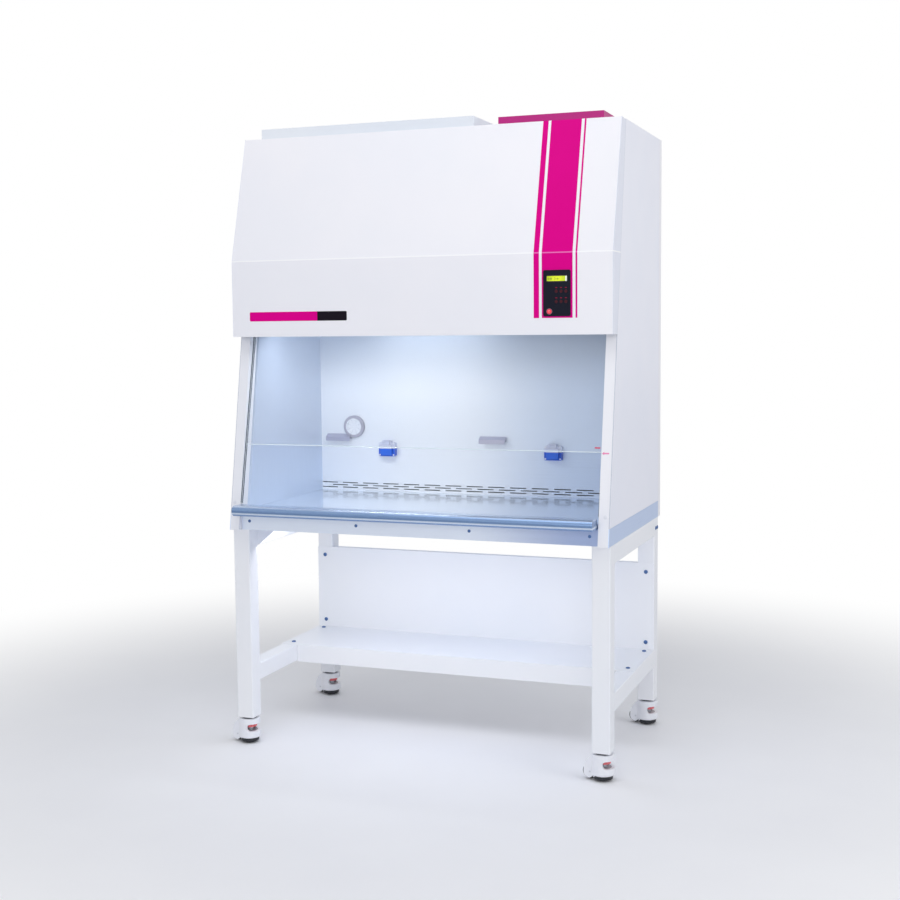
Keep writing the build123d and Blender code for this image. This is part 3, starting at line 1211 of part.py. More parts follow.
# ---------------------------------------------------------------- write every node
def main():
    right_panel = side_panel()
    write("side_panel_right", right_panel)
    write("side_panel_left", mirrored(right_panel))
    write("rear_panel", rear_panel())
    write("top_panel", top_panel())
    write("front_hood", front_hood())
    write("front_posts", *pair(front_post()))
    guides = [upper_track(), weight_guide(), shaft_bearing()]
    write("sash_guides", *[shape for guide in guides for shape in pair(guide)])
    write("sash_glass", sash_glass())
    write("sash_carrier", sash_carrier())
    write("counterweights", *pair(counterweight()))
    write("sash_shaft", sash_shaft())
    write("base_pan", base_pan())
    write("front_fascia", front_fascia())
    write("arm_rest", arm_rest())
    write("inner_sides", *pair(liner()))
    write("inner_back_wall", inner_back_wall())
    write("work_tray", work_tray())
    write("air_diffuser", air_diffuser())
    write("hepa_filters", supply_filter(), exhaust_filter())
    write("service_port", *service_port())
    write("lift_handles", *[lift_handle(x) for x in HANDLE_CENTRES])
    write("socket_bodies", *[socket_body(x) for x in SOCKET_CENTRES])
    for name, x in zip(("left", "right"), SOCKET_CENTRES):
        write(f"socket_lid_{name}", socket_lid(x))
    write("control_panel", control_panel())
    write("display", display())
    keys = [(x, z) for z in KEY_Z for x in KEY_X]
    for number, (x, z) in enumerate(keys, start=1):
        write(f"key_{number}", key(x, z, KEY_RADIUS, KEY_PROUD))
    write("power_button", key(POWER_X, POWER_Z, POWER_RADIUS, POWER_PROUD))
    write("exhaust_box", exhaust_box())
    write("control_box", control_box())
    write("blower_housing", *blower_housing())
    write("blower_impeller", blower_impeller())
    write("lamps", *lamp())
    right_side = stand_side()
    write("stand_side_right", right_side)
    write("stand_side_left", mirrored(right_side))
    write("stand_shelf", stand_shelf())
    write("stand_back_panel", stand_back_panel())
    write("fasteners", *fasteners())
    corners = {
        "front_left": (-LEG_CENTRE_X, CASTER_Y[0]),
        "front_right": (LEG_CENTRE_X, CASTER_Y[0]),
        "back_left": (-LEG_CENTRE_X, CASTER_Y[1]),
        "back_right": (LEG_CENTRE_X, CASTER_Y[1]),
    }
    write("caster_mounts", *[caster_mount(x, y) for x, y in corners.values()])
    for corner, (x, y) in corners.items():
        write(f"caster_{corner}_housing", *caster_housing(x, y))
        write(f"caster_{corner}_wheel", caster_wheel(x, y))
        write(f"caster_{corner}_thumbwheel", caster_thumbwheel(x, y))
        write(f"caster_{corner}_foot", caster_foot(x, y))


main()
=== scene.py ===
# %% [markdown]
# # Dressing a biosafety cabinet
# The solids of the cabinet, its stand and its casters come in already packed, in metres. This
# lesson gives them paint, steel, glass and plastic, adds the small pieces that solids leave out,
# and sets up a camera and a plain studio. Z points up, X to the user's right and Y to the back.

import math

import bmesh
import bpy
from mathutils import Matrix, Vector


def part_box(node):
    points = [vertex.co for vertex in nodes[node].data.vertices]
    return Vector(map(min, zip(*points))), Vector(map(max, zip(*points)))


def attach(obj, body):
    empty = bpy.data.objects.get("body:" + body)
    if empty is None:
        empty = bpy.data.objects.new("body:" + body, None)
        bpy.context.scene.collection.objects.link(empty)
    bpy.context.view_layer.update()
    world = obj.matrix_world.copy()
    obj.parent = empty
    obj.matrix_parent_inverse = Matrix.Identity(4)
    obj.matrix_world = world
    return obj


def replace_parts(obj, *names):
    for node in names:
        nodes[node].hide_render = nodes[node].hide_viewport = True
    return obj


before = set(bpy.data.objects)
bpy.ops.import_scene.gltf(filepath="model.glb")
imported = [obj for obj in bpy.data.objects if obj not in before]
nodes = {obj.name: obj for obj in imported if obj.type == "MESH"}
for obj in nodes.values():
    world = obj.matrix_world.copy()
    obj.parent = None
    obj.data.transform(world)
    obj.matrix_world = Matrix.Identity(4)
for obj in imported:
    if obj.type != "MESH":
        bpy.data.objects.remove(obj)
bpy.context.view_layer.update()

# %% [markdown]
# ## Camera
# A camera in Blender looks along its own -Z, with +Y up in the picture. Instead of three Euler
# angles, its axes are worked out from where it looks and stacked in a matrix, which keeps a small
# roll of the horizon simple: the right and up axes turn a little about the line of sight.

# %% Camera
VIEW_PLACE = (1.64415, -4.38466, 1.42411)
VIEW_AZIMUTH = 20.4585
VIEW_ELEVATION = 5.0994
VIEW_ROLL = -0.5262
VIEW_LENS = 54.162


def view_axes(azimuth, elevation, roll):
    """Right, up and backward axes of a camera, from angles in degrees."""
    az, el, ro = (math.radians(angle) for angle in (azimuth, elevation, roll))
    back = Vector((math.sin(az) * math.cos(el), -math.cos(az) * math.cos(el), math.sin(el)))
    level = (-back).cross(Vector((0, 0, 1))).normalized()
    upright = level.cross(-back)
    right = level * math.cos(ro) + upright * math.sin(ro)
    up = upright * math.cos(ro) - level * math.sin(ro)
    return right, up, back


lens = bpy.data.cameras.new("camera")
lens.sensor_width = 36.0
lens.lens = VIEW_LENS
lens.clip_end = 80.0
camera = bpy.data.objects.new("camera", lens)
camera.matrix_world = (
    Matrix.Translation(VIEW_PLACE)
    @ Matrix(view_axes(VIEW_AZIMUTH, VIEW_ELEVATION, VIEW_ROLL)).transposed().to_4x4()
)
bpy.context.scene.collection.objects.link(camera)
bpy.context.scene.camera = camera
bpy.context.scene.view_settings.view_transform = "Standard"
print("camera at", VIEW_PLACE, "lens", VIEW_LENS)

# %% [markdown]
# ## Node trees as expressions
# Paint and metal are node trees, and so are the small generators for screws and pleats.
# Wiring them by hand makes long scripts. Here one class stands for a tree and adds any node, and
# one stands for a socket and overloads + - * / and the comparisons, so `1 - mask * 0.2` adds its
# Math nodes by itself. Settings come before sockets, because they can change a node's sockets.

# %% Values and trees
class Value:
    """A node's output socket; arithmetic on it adds Math nodes to its tree."""

    def __init__(self, tree, socket):
        self.tree = tree
        self.socket = socket

    def __add__(self, other):
        return self.tree.math("ADD", self, other)

    __radd__ = __add__

    def __sub__(self, other):
        return self.tree.math("SUBTRACT", self, other)

    def __rsub__(self, other):
        return self.tree.math("SUBTRACT", other, self)

    def __mul__(self, other):
        return self.tree.math("MULTIPLY", self, other)

    __rmul__ = __mul__

    def __truediv__(self, other):
        return self.tree.math("DIVIDE", self, other)

    def __rtruediv__(self, other):
        return self.tree.math("DIVIDE", other, self)

    def __mod__(self, other):
        return self.tree.math("FLOORED_MODULO", self, other)

    def __gt__(self, other):
        return self.tree.math("GREATER_THAN", self, other)

    def __lt__(self, other):
        return self.tree.math("LESS_THAN", self, other)

    def __abs__(self):
        return self.tree.math("ABSOLUTE", self)


class Tree:
    """A shader or geometry node tree that is being written."""

    def __init__(self, tree):
        self.tree = tree

    def node(self, kind, result=0, settings=None, **sockets):
        """Adds a node and returns its result socket; spaces in a socket's name are written _."""
        made = self.tree.nodes.new(kind)
        for name, setting in (settings or {}).items():
            setattr(made, name, setting)
        for name, value in sockets.items():
            self.feed(find_socket(made.inputs, name), value)
        return Value(self, find_socket(made.outputs, result)) if made.outputs else made

    def feed(self, socket, value):
        """Links a value to a socket, or sets a plain number, colour or object on it."""
        if isinstance(value, Value):
            self.tree.links.new(value.socket, socket)
        else:
            socket.default_value = value

    def math(self, operation, *values):
        made = self.tree.nodes.new("ShaderNodeMath")
        made.operation = operation
        for socket, value in zip(made.inputs, values):
            self.feed(socket, value)
        return Value(self, made.outputs[0])


def find_socket(sockets, name):
    """A socket by its number, its identifier, or its name."""
    if isinstance(name, int):
        return sockets[name]
    for socket in sockets:
        if name in (socket.identifier, socket.name.replace(" ", "_")):
            return socket
    raise KeyError(name)


# %% [markdown]
# ## A finish is a Principled shader with varied inputs
# Every finish below reads Object coordinates in metres. All pieces sit at the origin, so these
# are the same as positions on the cabinet, and a pattern crosses from one sheet to the next as it
# would on one real surface. What varies goes into colour, roughness, metallic, alpha, emission or
# the normal; a value that is the same everywhere is set on the shader's own socket.

# %% The finish class
def tint(red, green, blue):
    """A screen colour, 0 to 255, as the linear colour that shaders use."""
    linear = []
    for channel in (red, green, blue):
        share = channel / 255
        linear.append(share / 12.92 if share <= 0.04045 else ((share + 0.055) / 1.055) ** 2.4)
    return (*linear, 1.0)


class Finish(Tree):
    """A material that is being written, with short names for the nodes it uses most."""

    def __init__(self, name):
        self.material = bpy.data.materials.new(name)
        self.material.use_nodes = True
        super().__init__(self.material.node_tree)
        self.tree.nodes.clear()
        self.place = self.node("ShaderNodeTexCoord", "Object")

    def stretched(self, x, y, z):
        """Object coordinates scaled per axis, for streaks and offsets."""
        return self.node("ShaderNodeMapping", Vector=self.place, Scale=(x, y, z))

    def noise(self, scale, detail=2.0, vector=None):
        vector = vector or self.place
        return self.node("ShaderNodeTexNoise", 0, Vector=vector, Scale=scale, Detail=detail)

    def axis(self, name):
        return self.node("ShaderNodeSeparateXYZ", name, Vector=self.place)

    def along(self, direction):
        """How far a point lies along a direction, in metres: a dot product."""
        dot = self.node("ShaderNodeVectorMath", "Value", {"operation": "DOT_PRODUCT"}, Vector=self.place)
        self.feed(dot.socket.node.inputs[1], direction)
        return dot

    def spread(self, value, low, high):
        """A 0 to 1 value as a number between low and high."""
        return self.node("ShaderNodeMapRange", 0, Value=value, To_Min=low, To_Max=high)

    def between(self, value, low, high):
        """1 where the value lies between low and high, otherwise 0."""
        return (value > low) * (value < high)

    def step(self, value, low, high):
        """A smooth rise from 0 at low to 1 at high."""
        return self.node(
            "ShaderNodeMapRange",
            0,
            {"interpolation_type": "SMOOTHSTEP"},
            Value=value,
            From_Min=low,
            From_Max=high,
        )

    def mix(self, share, first, second):
        """A colour between two, by a share from 0 to 1."""
        return self.node(
            "ShaderNodeMix",
            "Result_Color",
            {"data_type": "RGBA"},
            Factor_Float=share,
            A_Color=first,
            B_Color=second,
        )

    def bump(self, height, depth):
        """A normal from a height between 0 and 1 that is depth metres deep."""
        return self.node("ShaderNodeBump", 0, Height=height, Distance=depth, Strength=1.0)

    def shade(self, **sockets):
        """Ends the tree in a Principled shader and returns the material."""
        shader = self.node("ShaderNodeBsdfPrincipled", 0, **sockets)
        self.node("ShaderNodeOutputMaterial", 0, Surface=shader)
        return self.material


finish_count = 0


def wear(material, *names):
    """Gives a finish to CAD nodes by name."""
    global finish_count
    for name in names:
        for slot in nodes[name].material_slots:
            slot.material = material
        finish_count += 1


print("one tree class and one finish class")

# %% [markdown]
# ## Powder coat
# The shell, the hood and the stand are sheet and tube with a satin powder coat. Such a coat is
# one colour, but it is never perfectly flat: it flows into a fine orange peel a few millimetres
# across, and its gloss drifts a little. A fine noise in a Bump node gives the peel, and a broad
# one moves colour and roughness by a few percent. One function serves every painted piece.

# %% Painted finishes
PEEL_SCALE = 420.0
PEEL_DEPTH = 0.00008
FRONT_TILT = math.radians(9.58)
FRONT_FOOT = (-0.3624, 0.750)
HOOD_FOLD = 1.658


def powder_coat(name, colour, shade, roughness, fades=(), lines=()):
    """Satin paint: colour drifts towards shade, with an orange peel in the normal.

    A fade is painted light or shade: a direction, where it starts and ends along it, and the colour
    that it leads to. A line, such as a dark joint or a painted highlight along a fold, is a
    direction, a distance, a half width and a colour.
    """
    paint = Finish(name)
    drift = paint.step(paint.noise(2.3, 3.0), 0.35, 0.65)
    peel = paint.noise(PEEL_SCALE, 1.0)
    coat = paint.mix(drift, tint(*colour), tint(*shade))
    for direction, start, end, far in fades:
        coat = paint.mix(paint.step(paint.along(direction), start, end), coat, tint(*far))
    for direction, distance, half, thin in lines:
        away = paint.step(abs(paint.along(direction) - distance), half * 0.5, half)
        coat = paint.mix(away, tint(*thin), coat)
    return paint.shade(
        Base_Color=coat,
        Roughness=paint.spread(paint.noise(9.0, 2.0), roughness - 0.06, roughness + 0.06),
        Normal=paint.bump(peel, PEEL_DEPTH),
    )


shell_paint = powder_coat("shell_paint", (240, 240, 245), (237, 238, 244), 0.42)
SEAM = (188, 192, 206)
REAR_SEAM = ((0.0, 1.0, 0.0), 0.37575, 0.0007, SEAM)
# Painted highlight: a paler line along the hood's fold, where the edge would catch the light.
FOLD_HIGHLIGHT = ((0.0, 0.0, 1.0), HOOD_FOLD, 0.0025, (252, 252, 254))
# Painted shade: the rear panel's inner face is painted near-black, so that the slots in the back wall look
# dark; the other three fades bring back the paint on its side and top edges.
REAR_INSIDE_SHADE = [
    ((0.0, 1.0, 0.0), 0.4095, 0.4085, (12, 14, 26)),
    ((1.0, 0.0, 0.0), 0.6540, 0.6550, (240, 240, 245)),
    ((-1.0, 0.0, 0.0), 0.6540, 0.6550, (240, 240, 245)),
    ((0.0, 0.0, 1.0), 2.0720, 2.0730, (240, 240, 245)),
]
FRONT_INTO = (0.0, math.cos(FRONT_TILT), -math.sin(FRONT_TILT))
FRONT_PLANE = FRONT_FOOT[0] * FRONT_INTO[1] + FRONT_FOOT[1] * FRONT_INTO[2]
FRONT_SEAM = (FRONT_INTO, FRONT_PLANE, 0.0010, SEAM)
SIDE_LINES = [REAR_SEAM, FRONT_SEAM]
HOOD_LINES = [FOLD_HIGHLIGHT, FRONT_SEAM]
# Painted shade: the hood's side cheeks are painted a little darker and bluer than its front.
CHEEK_SHADE = [((side, 0.0, 0.0), 0.6583, 0.6587, (226, 229, 241)) for side in (-1.0, 1.0)]
BOX_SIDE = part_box("exhaust_box")[1][0]
# Painted light: the exhaust box's side face is painted paler and bluer than the rest of the box.
COLLAR_SIDE_LIGHT = [((1.0, 0.0, 0.0), BOX_SIDE - 0.0006, BOX_SIDE - 0.0002, (238, 248, 255))]


def front_face_y(z):
    """Y of the posts' leaning front face at a height."""
    return FRONT_FOOT[0] + (z - FRONT_FOOT[1]) * math.tan(FRONT_TILT)


side_paint = powder_coat("side_paint", (238, 239, 248), (235, 237, 247), 0.42, lines=SIDE_LINES)
rear_paint = powder_coat("rear_paint", (240, 240, 245), (237, 238, 244), 0.42, REAR_INSIDE_SHADE)
hood_paint = powder_coat("hood_paint", (242, 241, 246), (239, 239, 245), 0.38, CHEEK_SHADE, HOOD_LINES)
stand_paint = powder_coat("stand_paint", (241, 242, 246), (238, 240, 245), 0.40)
collar_paint = powder_coat("collar_paint", (232, 236, 242), (227, 232, 240), 0.42, COLLAR_SIDE_LIGHT)
cover_paint = powder_coat("cover_paint", (186, 4, 126), (178, 2, 118), 0.46)
wear(shell_paint, "top_panel", "front_posts")
wear(side_paint, "side_panel_left", "side_panel_right")
wear(rear_paint, "rear_panel")
wear(hood_paint, "front_hood")
wear(stand_paint, "stand_side_left", "stand_side_right", "stand_shelf", "stand_back_panel")
wear(collar_paint, "exhaust_box")
wear(cover_paint, "control_box")
print("painted nodes:", finish_count)

# %% [markdown]
# ## Brushed stainless steel
# The work surface, the arm rest and the liners are stainless sheet with a satin grain. The grain
# is thousands of fine scratches along one direction. Noise on coordinates that are stretched a
# hundredfold across the grain gives such lines: they change the roughness strongly and the
# colour only slightly, and a very shallow bump spreads reflections sideways. The grain runs along
# X on the long pieces and upright on the chamber's sides. Polished sheet mirrors a room that is
# brighter on one side, so reflection and shade are painted into the sheets' colour: the long
# pieces fade to a bluer tone along one axis, the chamber's side is a darker, bluer sheet that pales
# towards the bottom, and the back wall is painted darker at the top and almost black in its slots.

# %% Steel finishes
GRAIN_DEPTH = 0.00003


def brushed(name, colour, shade, roughness, along, metallic=0.85, fades=()):
    """Stainless sheet with its grain along one axis, given as the scale on X, Y and Z.

    A fade paints reflection and shade: an axis, where it starts and ends on it, and the colour that it
    leads to.
    """
    steel = Finish(name)
    grain = steel.noise(1.0, 3.0, steel.stretched(*along))
    cloud = steel.noise(3.0, 2.0)
    sheet = steel.mix(grain * 0.6 + cloud * 0.4, tint(*colour), tint(*shade))
    for axis, start, end, far in fades:
        dim = tuple(level * 0.94 for level in far)
        sheet = steel.mix(
            steel.step(steel.axis(axis), start, end), sheet, steel.mix(grain, tint(*far), tint(*dim))
        )
    return steel.shade(
        Base_Color=sheet,
        Metallic=metallic,
        Roughness=steel.spread(grain, roughness - 0.08, roughness + 0.10),
        Normal=steel.bump(grain, GRAIN_DEPTH),
    )


GRAIN_X = (6.0, 900.0, 900.0)
GRAIN_Y = (900.0, 6.0, 900.0)
GRAIN_Z = (900.0, 900.0, 6.0)
# Painted reflection: the work tray and the fascia fade to a bluer tone towards the right.
TRAY_REFLECTION = ("X", -0.15, 0.38, (206, 220, 240))
FASCIA_REFLECTION = ("X", 0.15, 0.60, (168, 184, 220))
# Painted reflection: the chamber's side wall grows paler towards the bottom, as if it mirrored the bright
# floor.
SIDE_FLOOR_REFLECTION = ("Z", 1.10, 0.84, (214, 228, 250))
# Painted reflection and shade on the back wall: bluer towards the right, darker towards the top, and
# almost black in the cut edges of its slots.
WALL_SHADE_AND_REFLECTION = (
    ("X", -0.08, 0.42, (210, 223, 243)),
    ("Z", 1.16, 1.42, (186, 196, 212)),
    ("Y", 0.2792, 0.2795, (16, 20, 36)),
)
tray_steel = brushed("tray_steel", (240, 246, 253), (226, 236, 248), 0.11, GRAIN_X, 0.75, [TRAY_REFLECTION])
fascia_steel = brushed("fascia_steel", (238, 244, 254), (226, 235, 248), 0.36, GRAIN_X, 0.5, [FASCIA_REFLECTION])
# Painted shade and reflection: the chamber's side steel is a darker, bluer copy of the back wall's steel.
side_steel = brushed("side_steel", (198, 209, 228), (188, 200, 221), 0.42, GRAIN_Z, 0.35, [SIDE_FLOOR_REFLECTION])
wall_steel = brushed("wall_steel", (246, 248, 252), (238, 242, 249), 0.40, GRAIN_X, 0.35, WALL_SHADE_AND_REFLECTION)
handle_steel = brushed("handle_steel", (190, 186, 206), (172, 170, 192), 0.30, GRAIN_X, 0.8)
band_steel = brushed("band_steel", (206, 222, 248), (192, 209, 240), 0.34, GRAIN_Y, 0.5)
shaft_steel = brushed("shaft_steel", (170, 174, 182), (146, 150, 160), 0.30, GRAIN_X, 1.0)
wear(tray_steel, "work_tray")
wear(fascia_steel, "front_fascia")
wear(side_steel, "inner_sides")
wear(wall_steel, "inner_back_wall")
wear(handle_steel, "lift_handles")
wear(band_steel, "base_pan")
bearing_steel = brushed("bearing_steel", (78, 80, 90), (64, 66, 76), 0.40, GRAIN_X, 0.3)
wear(shaft_steel, "sash_shaft", "blower_impeller")
wear(bearing_steel, "caster_mounts")
print("steel nodes so far:", finish_count)

# %% [markdown]
# ## The arm rest
# The arm rest is a polished round nose. Its top mirrors the pale room, its face mirrors the dim
# floor in front of the user, and a pale streak between them is the window of the room. In a
# studio of white light nothing dark is there to be mirrored, so these reflections are painted into
# the steel: its colour changes with height, in a few stops that are blended one after another.

# %% Arm rest
REST_LOW, REST_HIGH = (corner[2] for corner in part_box("arm_rest"))
# Painted reflections: colour stops up the arm rest's height.
REST_REFLECTIONS = (
    (REST_LOW, (126, 156, 200)),
    (0.8095, (126, 156, 200)),
    (0.8122, (216, 228, 243)),
    (0.8150, (216, 228, 243)),
    (0.8182, (116, 144, 184)),
    (0.8320, (126, 152, 190)),
    (0.8385, (196, 210, 232)),
)


def nose_steel():
    steel = Finish("nose_steel")
    grain = steel.noise(1.0, 3.0, steel.stretched(*GRAIN_X))
    height = steel.axis("Z")
    tone = tint(*REST_REFLECTIONS[0][1])
    for (start, _), (end, colour) in zip(REST_REFLECTIONS, REST_REFLECTIONS[1:]):
        tone = steel.mix(steel.step(height, start, end), tone, tint(*colour))
    return steel.shade(
        Base_Color=steel.mix(grain * 0.12, tone, tint(70, 90, 130)),
        Metallic=0.75,
        Roughness=steel.spread(grain, 0.20, 0.34),
        Normal=steel.bump(grain, GRAIN_DEPTH),
    )


wear(nose_steel(), "arm_rest")
print("arm rest from", round(REST_LOW, 3), "to", round(REST_HIGH, 3))

# %% [markdown]
# ## Galvanised steel, aluminium and filter paper
# Behind the covers the channels, the weights and the blower are galvanised sheet. Zinc freezes in
# flat crystals, called spangle, so a Voronoi texture gives each cell its own grey. The clamp rail
# is anodised aluminium and the filter pack is white glass-fibre paper, which has a fine felt.

# %% Hidden finishes
def galvanised():
    zinc = Finish("galvanised")
    spangle = zinc.node("ShaderNodeTexVoronoi", "Color", Vector=zinc.place, Scale=70.0)
    level = zinc.node("ShaderNodeRGBToBW", 0, Color=spangle)
    return zinc.shade(
        Base_Color=zinc.mix(level, tint(150, 155, 160), tint(186, 190, 194)),
        Metallic=0.9,
        Roughness=zinc.spread(level, 0.32, 0.52),
    )


def filter_paper():
    paper = Finish("filter_paper")
    felt = paper.noise(900.0, 2.0)
    return paper.shade(
        Base_Color=paper.mix(paper.noise(40.0), tint(238, 238, 234), tint(226, 227, 224)),
        Roughness=0.9,
        Normal=paper.bump(felt, 0.0002),
    )


zinc_sheet = galvanised()
paper_pack = filter_paper()
rail_aluminium = brushed("rail_aluminium", (200, 202, 208), (184, 187, 194), 0.34, GRAIN_X, 1.0)
wear(zinc_sheet, "sash_guides", "counterweights", "air_diffuser", "blower_housing")
wear(paper_pack, "hepa_filters")
wear(rail_aluminium, "sash_carrier")
print("hidden finishes:", 3)

# %% [markdown]
# ## Safety glass
# The pane is 6 mm thick and nearly clear, but its faces pick up the pale room, so what lies
# behind it looks washed out. True refraction would darken the chamber, because light that comes
# through refracting glass needs many more samples. A mostly transparent Principled surface is
# lighter to render and behaves well in other programs. Its polished lower edge is found by the
# distance up the slope, a dot product of the place with the glass's own direction.

# %% Glass
SASH_TILT = math.radians(11.81)
SASH_UP = (0.0, math.sin(SASH_TILT), math.cos(SASH_TILT))
SASH_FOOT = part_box("sash_glass")[0]


def safety_glass():
    glass = Finish("safety_glass")
    foot = SASH_FOOT[1] * SASH_UP[1] + SASH_FOOT[2] * SASH_UP[2]
    # Painted highlight: a band along the polished lower edge is paler and nearly opaque.
    edge = 1 - glass.step(glass.along(SASH_UP) - foot, 0.0025, 0.0045)
    return glass.shade(
        Base_Color=glass.mix(edge, tint(226, 236, 247), tint(240, 250, 255)),
        Roughness=glass.spread(glass.noise(5.0), 0.02, 0.05),
        Alpha=0.10 + edge * 0.75,
        IOR=1.5,
    )


wear(safety_glass(), "sash_glass")
print("glass foot at", tuple(round(v, 4) for v in SASH_FOOT))

# %% [markdown]
# ## Moulded plastics
# Small parts are injection moulded: keys, caps, seals, sockets, port and casters. Moulds are
# spark eroded, which leaves a fine even grain of about half a millimetre, and gloss varies with
# wear. One function makes the plain ones, with the grain's depth as a choice.

# %% Plastic finishes
def moulded(name, colour, shade, roughness, grain_depth=0.00005, **constants):
    """Injection-moulded plastic with a spark-eroded grain."""
    resin = Finish(name)
    grain = resin.noise(1500.0, 1.0)
    return resin.shade(
        Base_Color=resin.mix(resin.noise(30.0, 2.0), tint(*colour), tint(*shade)),
        Roughness=resin.spread(resin.noise(55.0, 2.0), roughness - 0.05, roughness + 0.08),
        Normal=resin.bump(grain, grain_depth),
        **constants,
    )


key_red = moulded("key_red", (70, 14, 30), (60, 10, 26), 0.45, Specular_IOR_Level=0.2)
wear(key_red, *[f"key_{number}" for number in range(1, 7)])
print("plastic finishes so far:", finish_count)

# %% [markdown]
# ## Pieces that share one solid
# The port is a grey ring with a white plug, a socket has a frosted lid over a blue body, the
# panel carries a ring round its button, and a caster is a white housing with a dark skirt and a
# steel axle. Each is one solid node, so the finish tells its parts apart by where a point lies:
# by its distance from an axis, or by its height. A distance from an axis that runs along Y is the
# length of the XZ offset.

# %% Finishes that change with the place
def distance_xz(finish, x, z):
    """Distance in metres from a line along Y through (x, z)."""
    offset = finish.node("ShaderNodeVectorMath", 0, {"operation": "SUBTRACT"})
    subtract = offset.socket.node
    finish.feed(subtract.inputs[0], finish.place)
    finish.feed(subtract.inputs[1], (x, 0.0, z))
    flat = finish.node("ShaderNodeVectorMath", 0, {"operation": "MULTIPLY"})
    finish.feed(flat.socket.node.inputs[0], offset)
    finish.feed(flat.socket.node.inputs[1], (1.0, 0.0, 1.0))
    return finish.node("ShaderNodeVectorMath", "Value", {"operation": "LENGTH"}, Vector=flat)


PORT_CENTRE = (-0.479, 1.061)
PLUG_RADIUS = 0.031
PLUG_SEGMENTS = 8
POWER_CENTRE = (0.458, 1.476)
LID_EDGE = 0.9815


def angle_xz(finish, x, z):
    """Angle round a line along Y through (x, z), from -0.5 to 0.5 of a turn."""
    turn = finish.math("ARCTAN2", finish.axis("Z") - z, finish.axis("X") - x)
    return turn / math.tau


def bezel_plastic():
    """Navy-black panel with a silver ring printed round the power button."""
    bezel = Finish("bezel_plastic")
    ring = bezel.between(distance_xz(bezel, *POWER_CENTRE), 0.0076, 0.0094)
    black = bezel.mix(bezel.noise(30.0), tint(22, 24, 40), tint(17, 19, 33))
    return bezel.shade(
        Base_Color=bezel.mix(ring, black, tint(128, 124, 142)),
        Specular_IOR_Level=0.10,
        Roughness=bezel.spread(bezel.noise(55.0), 0.28, 0.40),
    )


def power_plastic():
    """Red lit button with a pale ring and bar, as on any power switch."""
    button = Finish("power_plastic")
    reach = distance_xz(button, *POWER_CENTRE)
    bar = (abs(button.axis("X") - POWER_CENTRE[0]) < 0.0006) * (button.axis("Z") > POWER_CENTRE[1])
    sign = button.math("MAXIMUM", button.between(reach, 0.0030, 0.0036), bar * (reach < 0.0038))
    red = button.mix(button.noise(30.0), tint(226, 26, 52), tint(212, 22, 46))
    colour = button.mix(sign * 0.7, red, tint(255, 190, 200))
    return button.shade(
        Base_Color=colour,
        Roughness=button.spread(button.noise(55.0), 0.25, 0.36),
        Emission_Color=colour,
        Emission_Strength=0.3,
    )


def socket_plastic(name, blue):
    """Frosted lid above, saturated blue body below."""
    resin = Finish(name)
    frost = resin.step(resin.axis("Z"), LID_EDGE - 0.0006, LID_EDGE + 0.0006)
    cloud = resin.mix(resin.noise(60.0), tint(206, 208, 228), tint(190, 194, 220))
    return resin.shade(
        Base_Color=resin.mix(frost, tint(*blue), cloud),
        Roughness=resin.spread(resin.noise(55.0), 0.24, 0.36),
        Normal=resin.bump(resin.noise(1500.0, 1.0), 0.00005),
    )


def port_plastic():
    port = Finish("port_plastic")
    reach = distance_xz(port, *PORT_CENTRE)
    segment = (angle_xz(port, *PORT_CENTRE) + 0.5) * PLUG_SEGMENTS % 1.0
    slit = (abs(segment - 0.5) < 0.03) * (reach > 0.006)
    plug = port.mix(slit, tint(232, 234, 240), tint(176, 178, 192))
    ring = port.mix(port.noise(40.0), tint(168, 164, 180), tint(150, 148, 166))
    return port.shade(
        Base_Color=port.mix(reach < PLUG_RADIUS, ring, plug),
        Roughness=port.spread(port.noise(70.0), 0.35, 0.5),
    )


def caster_nylon(name, x, y):
    """White nylon housing with painted shade in its window, a dark skirt below it and a steel axle."""
    nylon = Finish(name)
    skirt = nylon.axis("Z") < 0.0189
    cheek = distance_xz(nylon, x - 0.039, 0.028)
    axle = cheek < 0.0032
    low_part = skirt * (cheek > 0.0215)
    white = nylon.mix(nylon.noise(60.0), tint(240, 241, 246), tint(229, 231, 239))
    offset = (nylon.axis("X") - x, nylon.axis("Y") - y)
    reach = nylon.math("SQRT", offset[0] * offset[0] + offset[1] * offset[1])
    # Painted shade: the housing is darker inside its window, up to the thumbwheel's top.
    inside = (reach < 0.0274) * (nylon.axis("Z") < WINDOW_TOP)
    white = nylon.mix(inside * 0.7, white, tint(96, 88, 106))
    body = nylon.mix(low_part, white, tint(24, 26, 34))
    return nylon.shade(
        Base_Color=nylon.mix(axle * 0.6, body, tint(196, 198, 206)),
        Metallic=axle * 0.5,
        Roughness=nylon.spread(nylon.noise(90.0), 0.28, 0.42),
        Normal=nylon.bump(nylon.noise(1500.0, 1.0), 0.00004),
    )


def caster_tyre(name, x):
    """Black tyre with fine moulding rings round a pale hub."""
    tyre = Finish(name)
    reach = distance_xz(tyre, x - 0.039, 0.028)
    hub = reach < 0.0108
    rings = tyre.math("SINE", reach * 6000.0)
    rubber = tyre.mix(tyre.noise(80.0), tint(40, 42, 48), tint(28, 29, 34))
    return tyre.shade(
        Base_Color=tyre.mix(hub, rubber, tint(196, 198, 204)),
        Roughness=tyre.spread(tyre.noise(120.0), 0.45, 0.65) - hub * 0.2,
        Normal=tyre.bump(rings, 0.00005),
    )


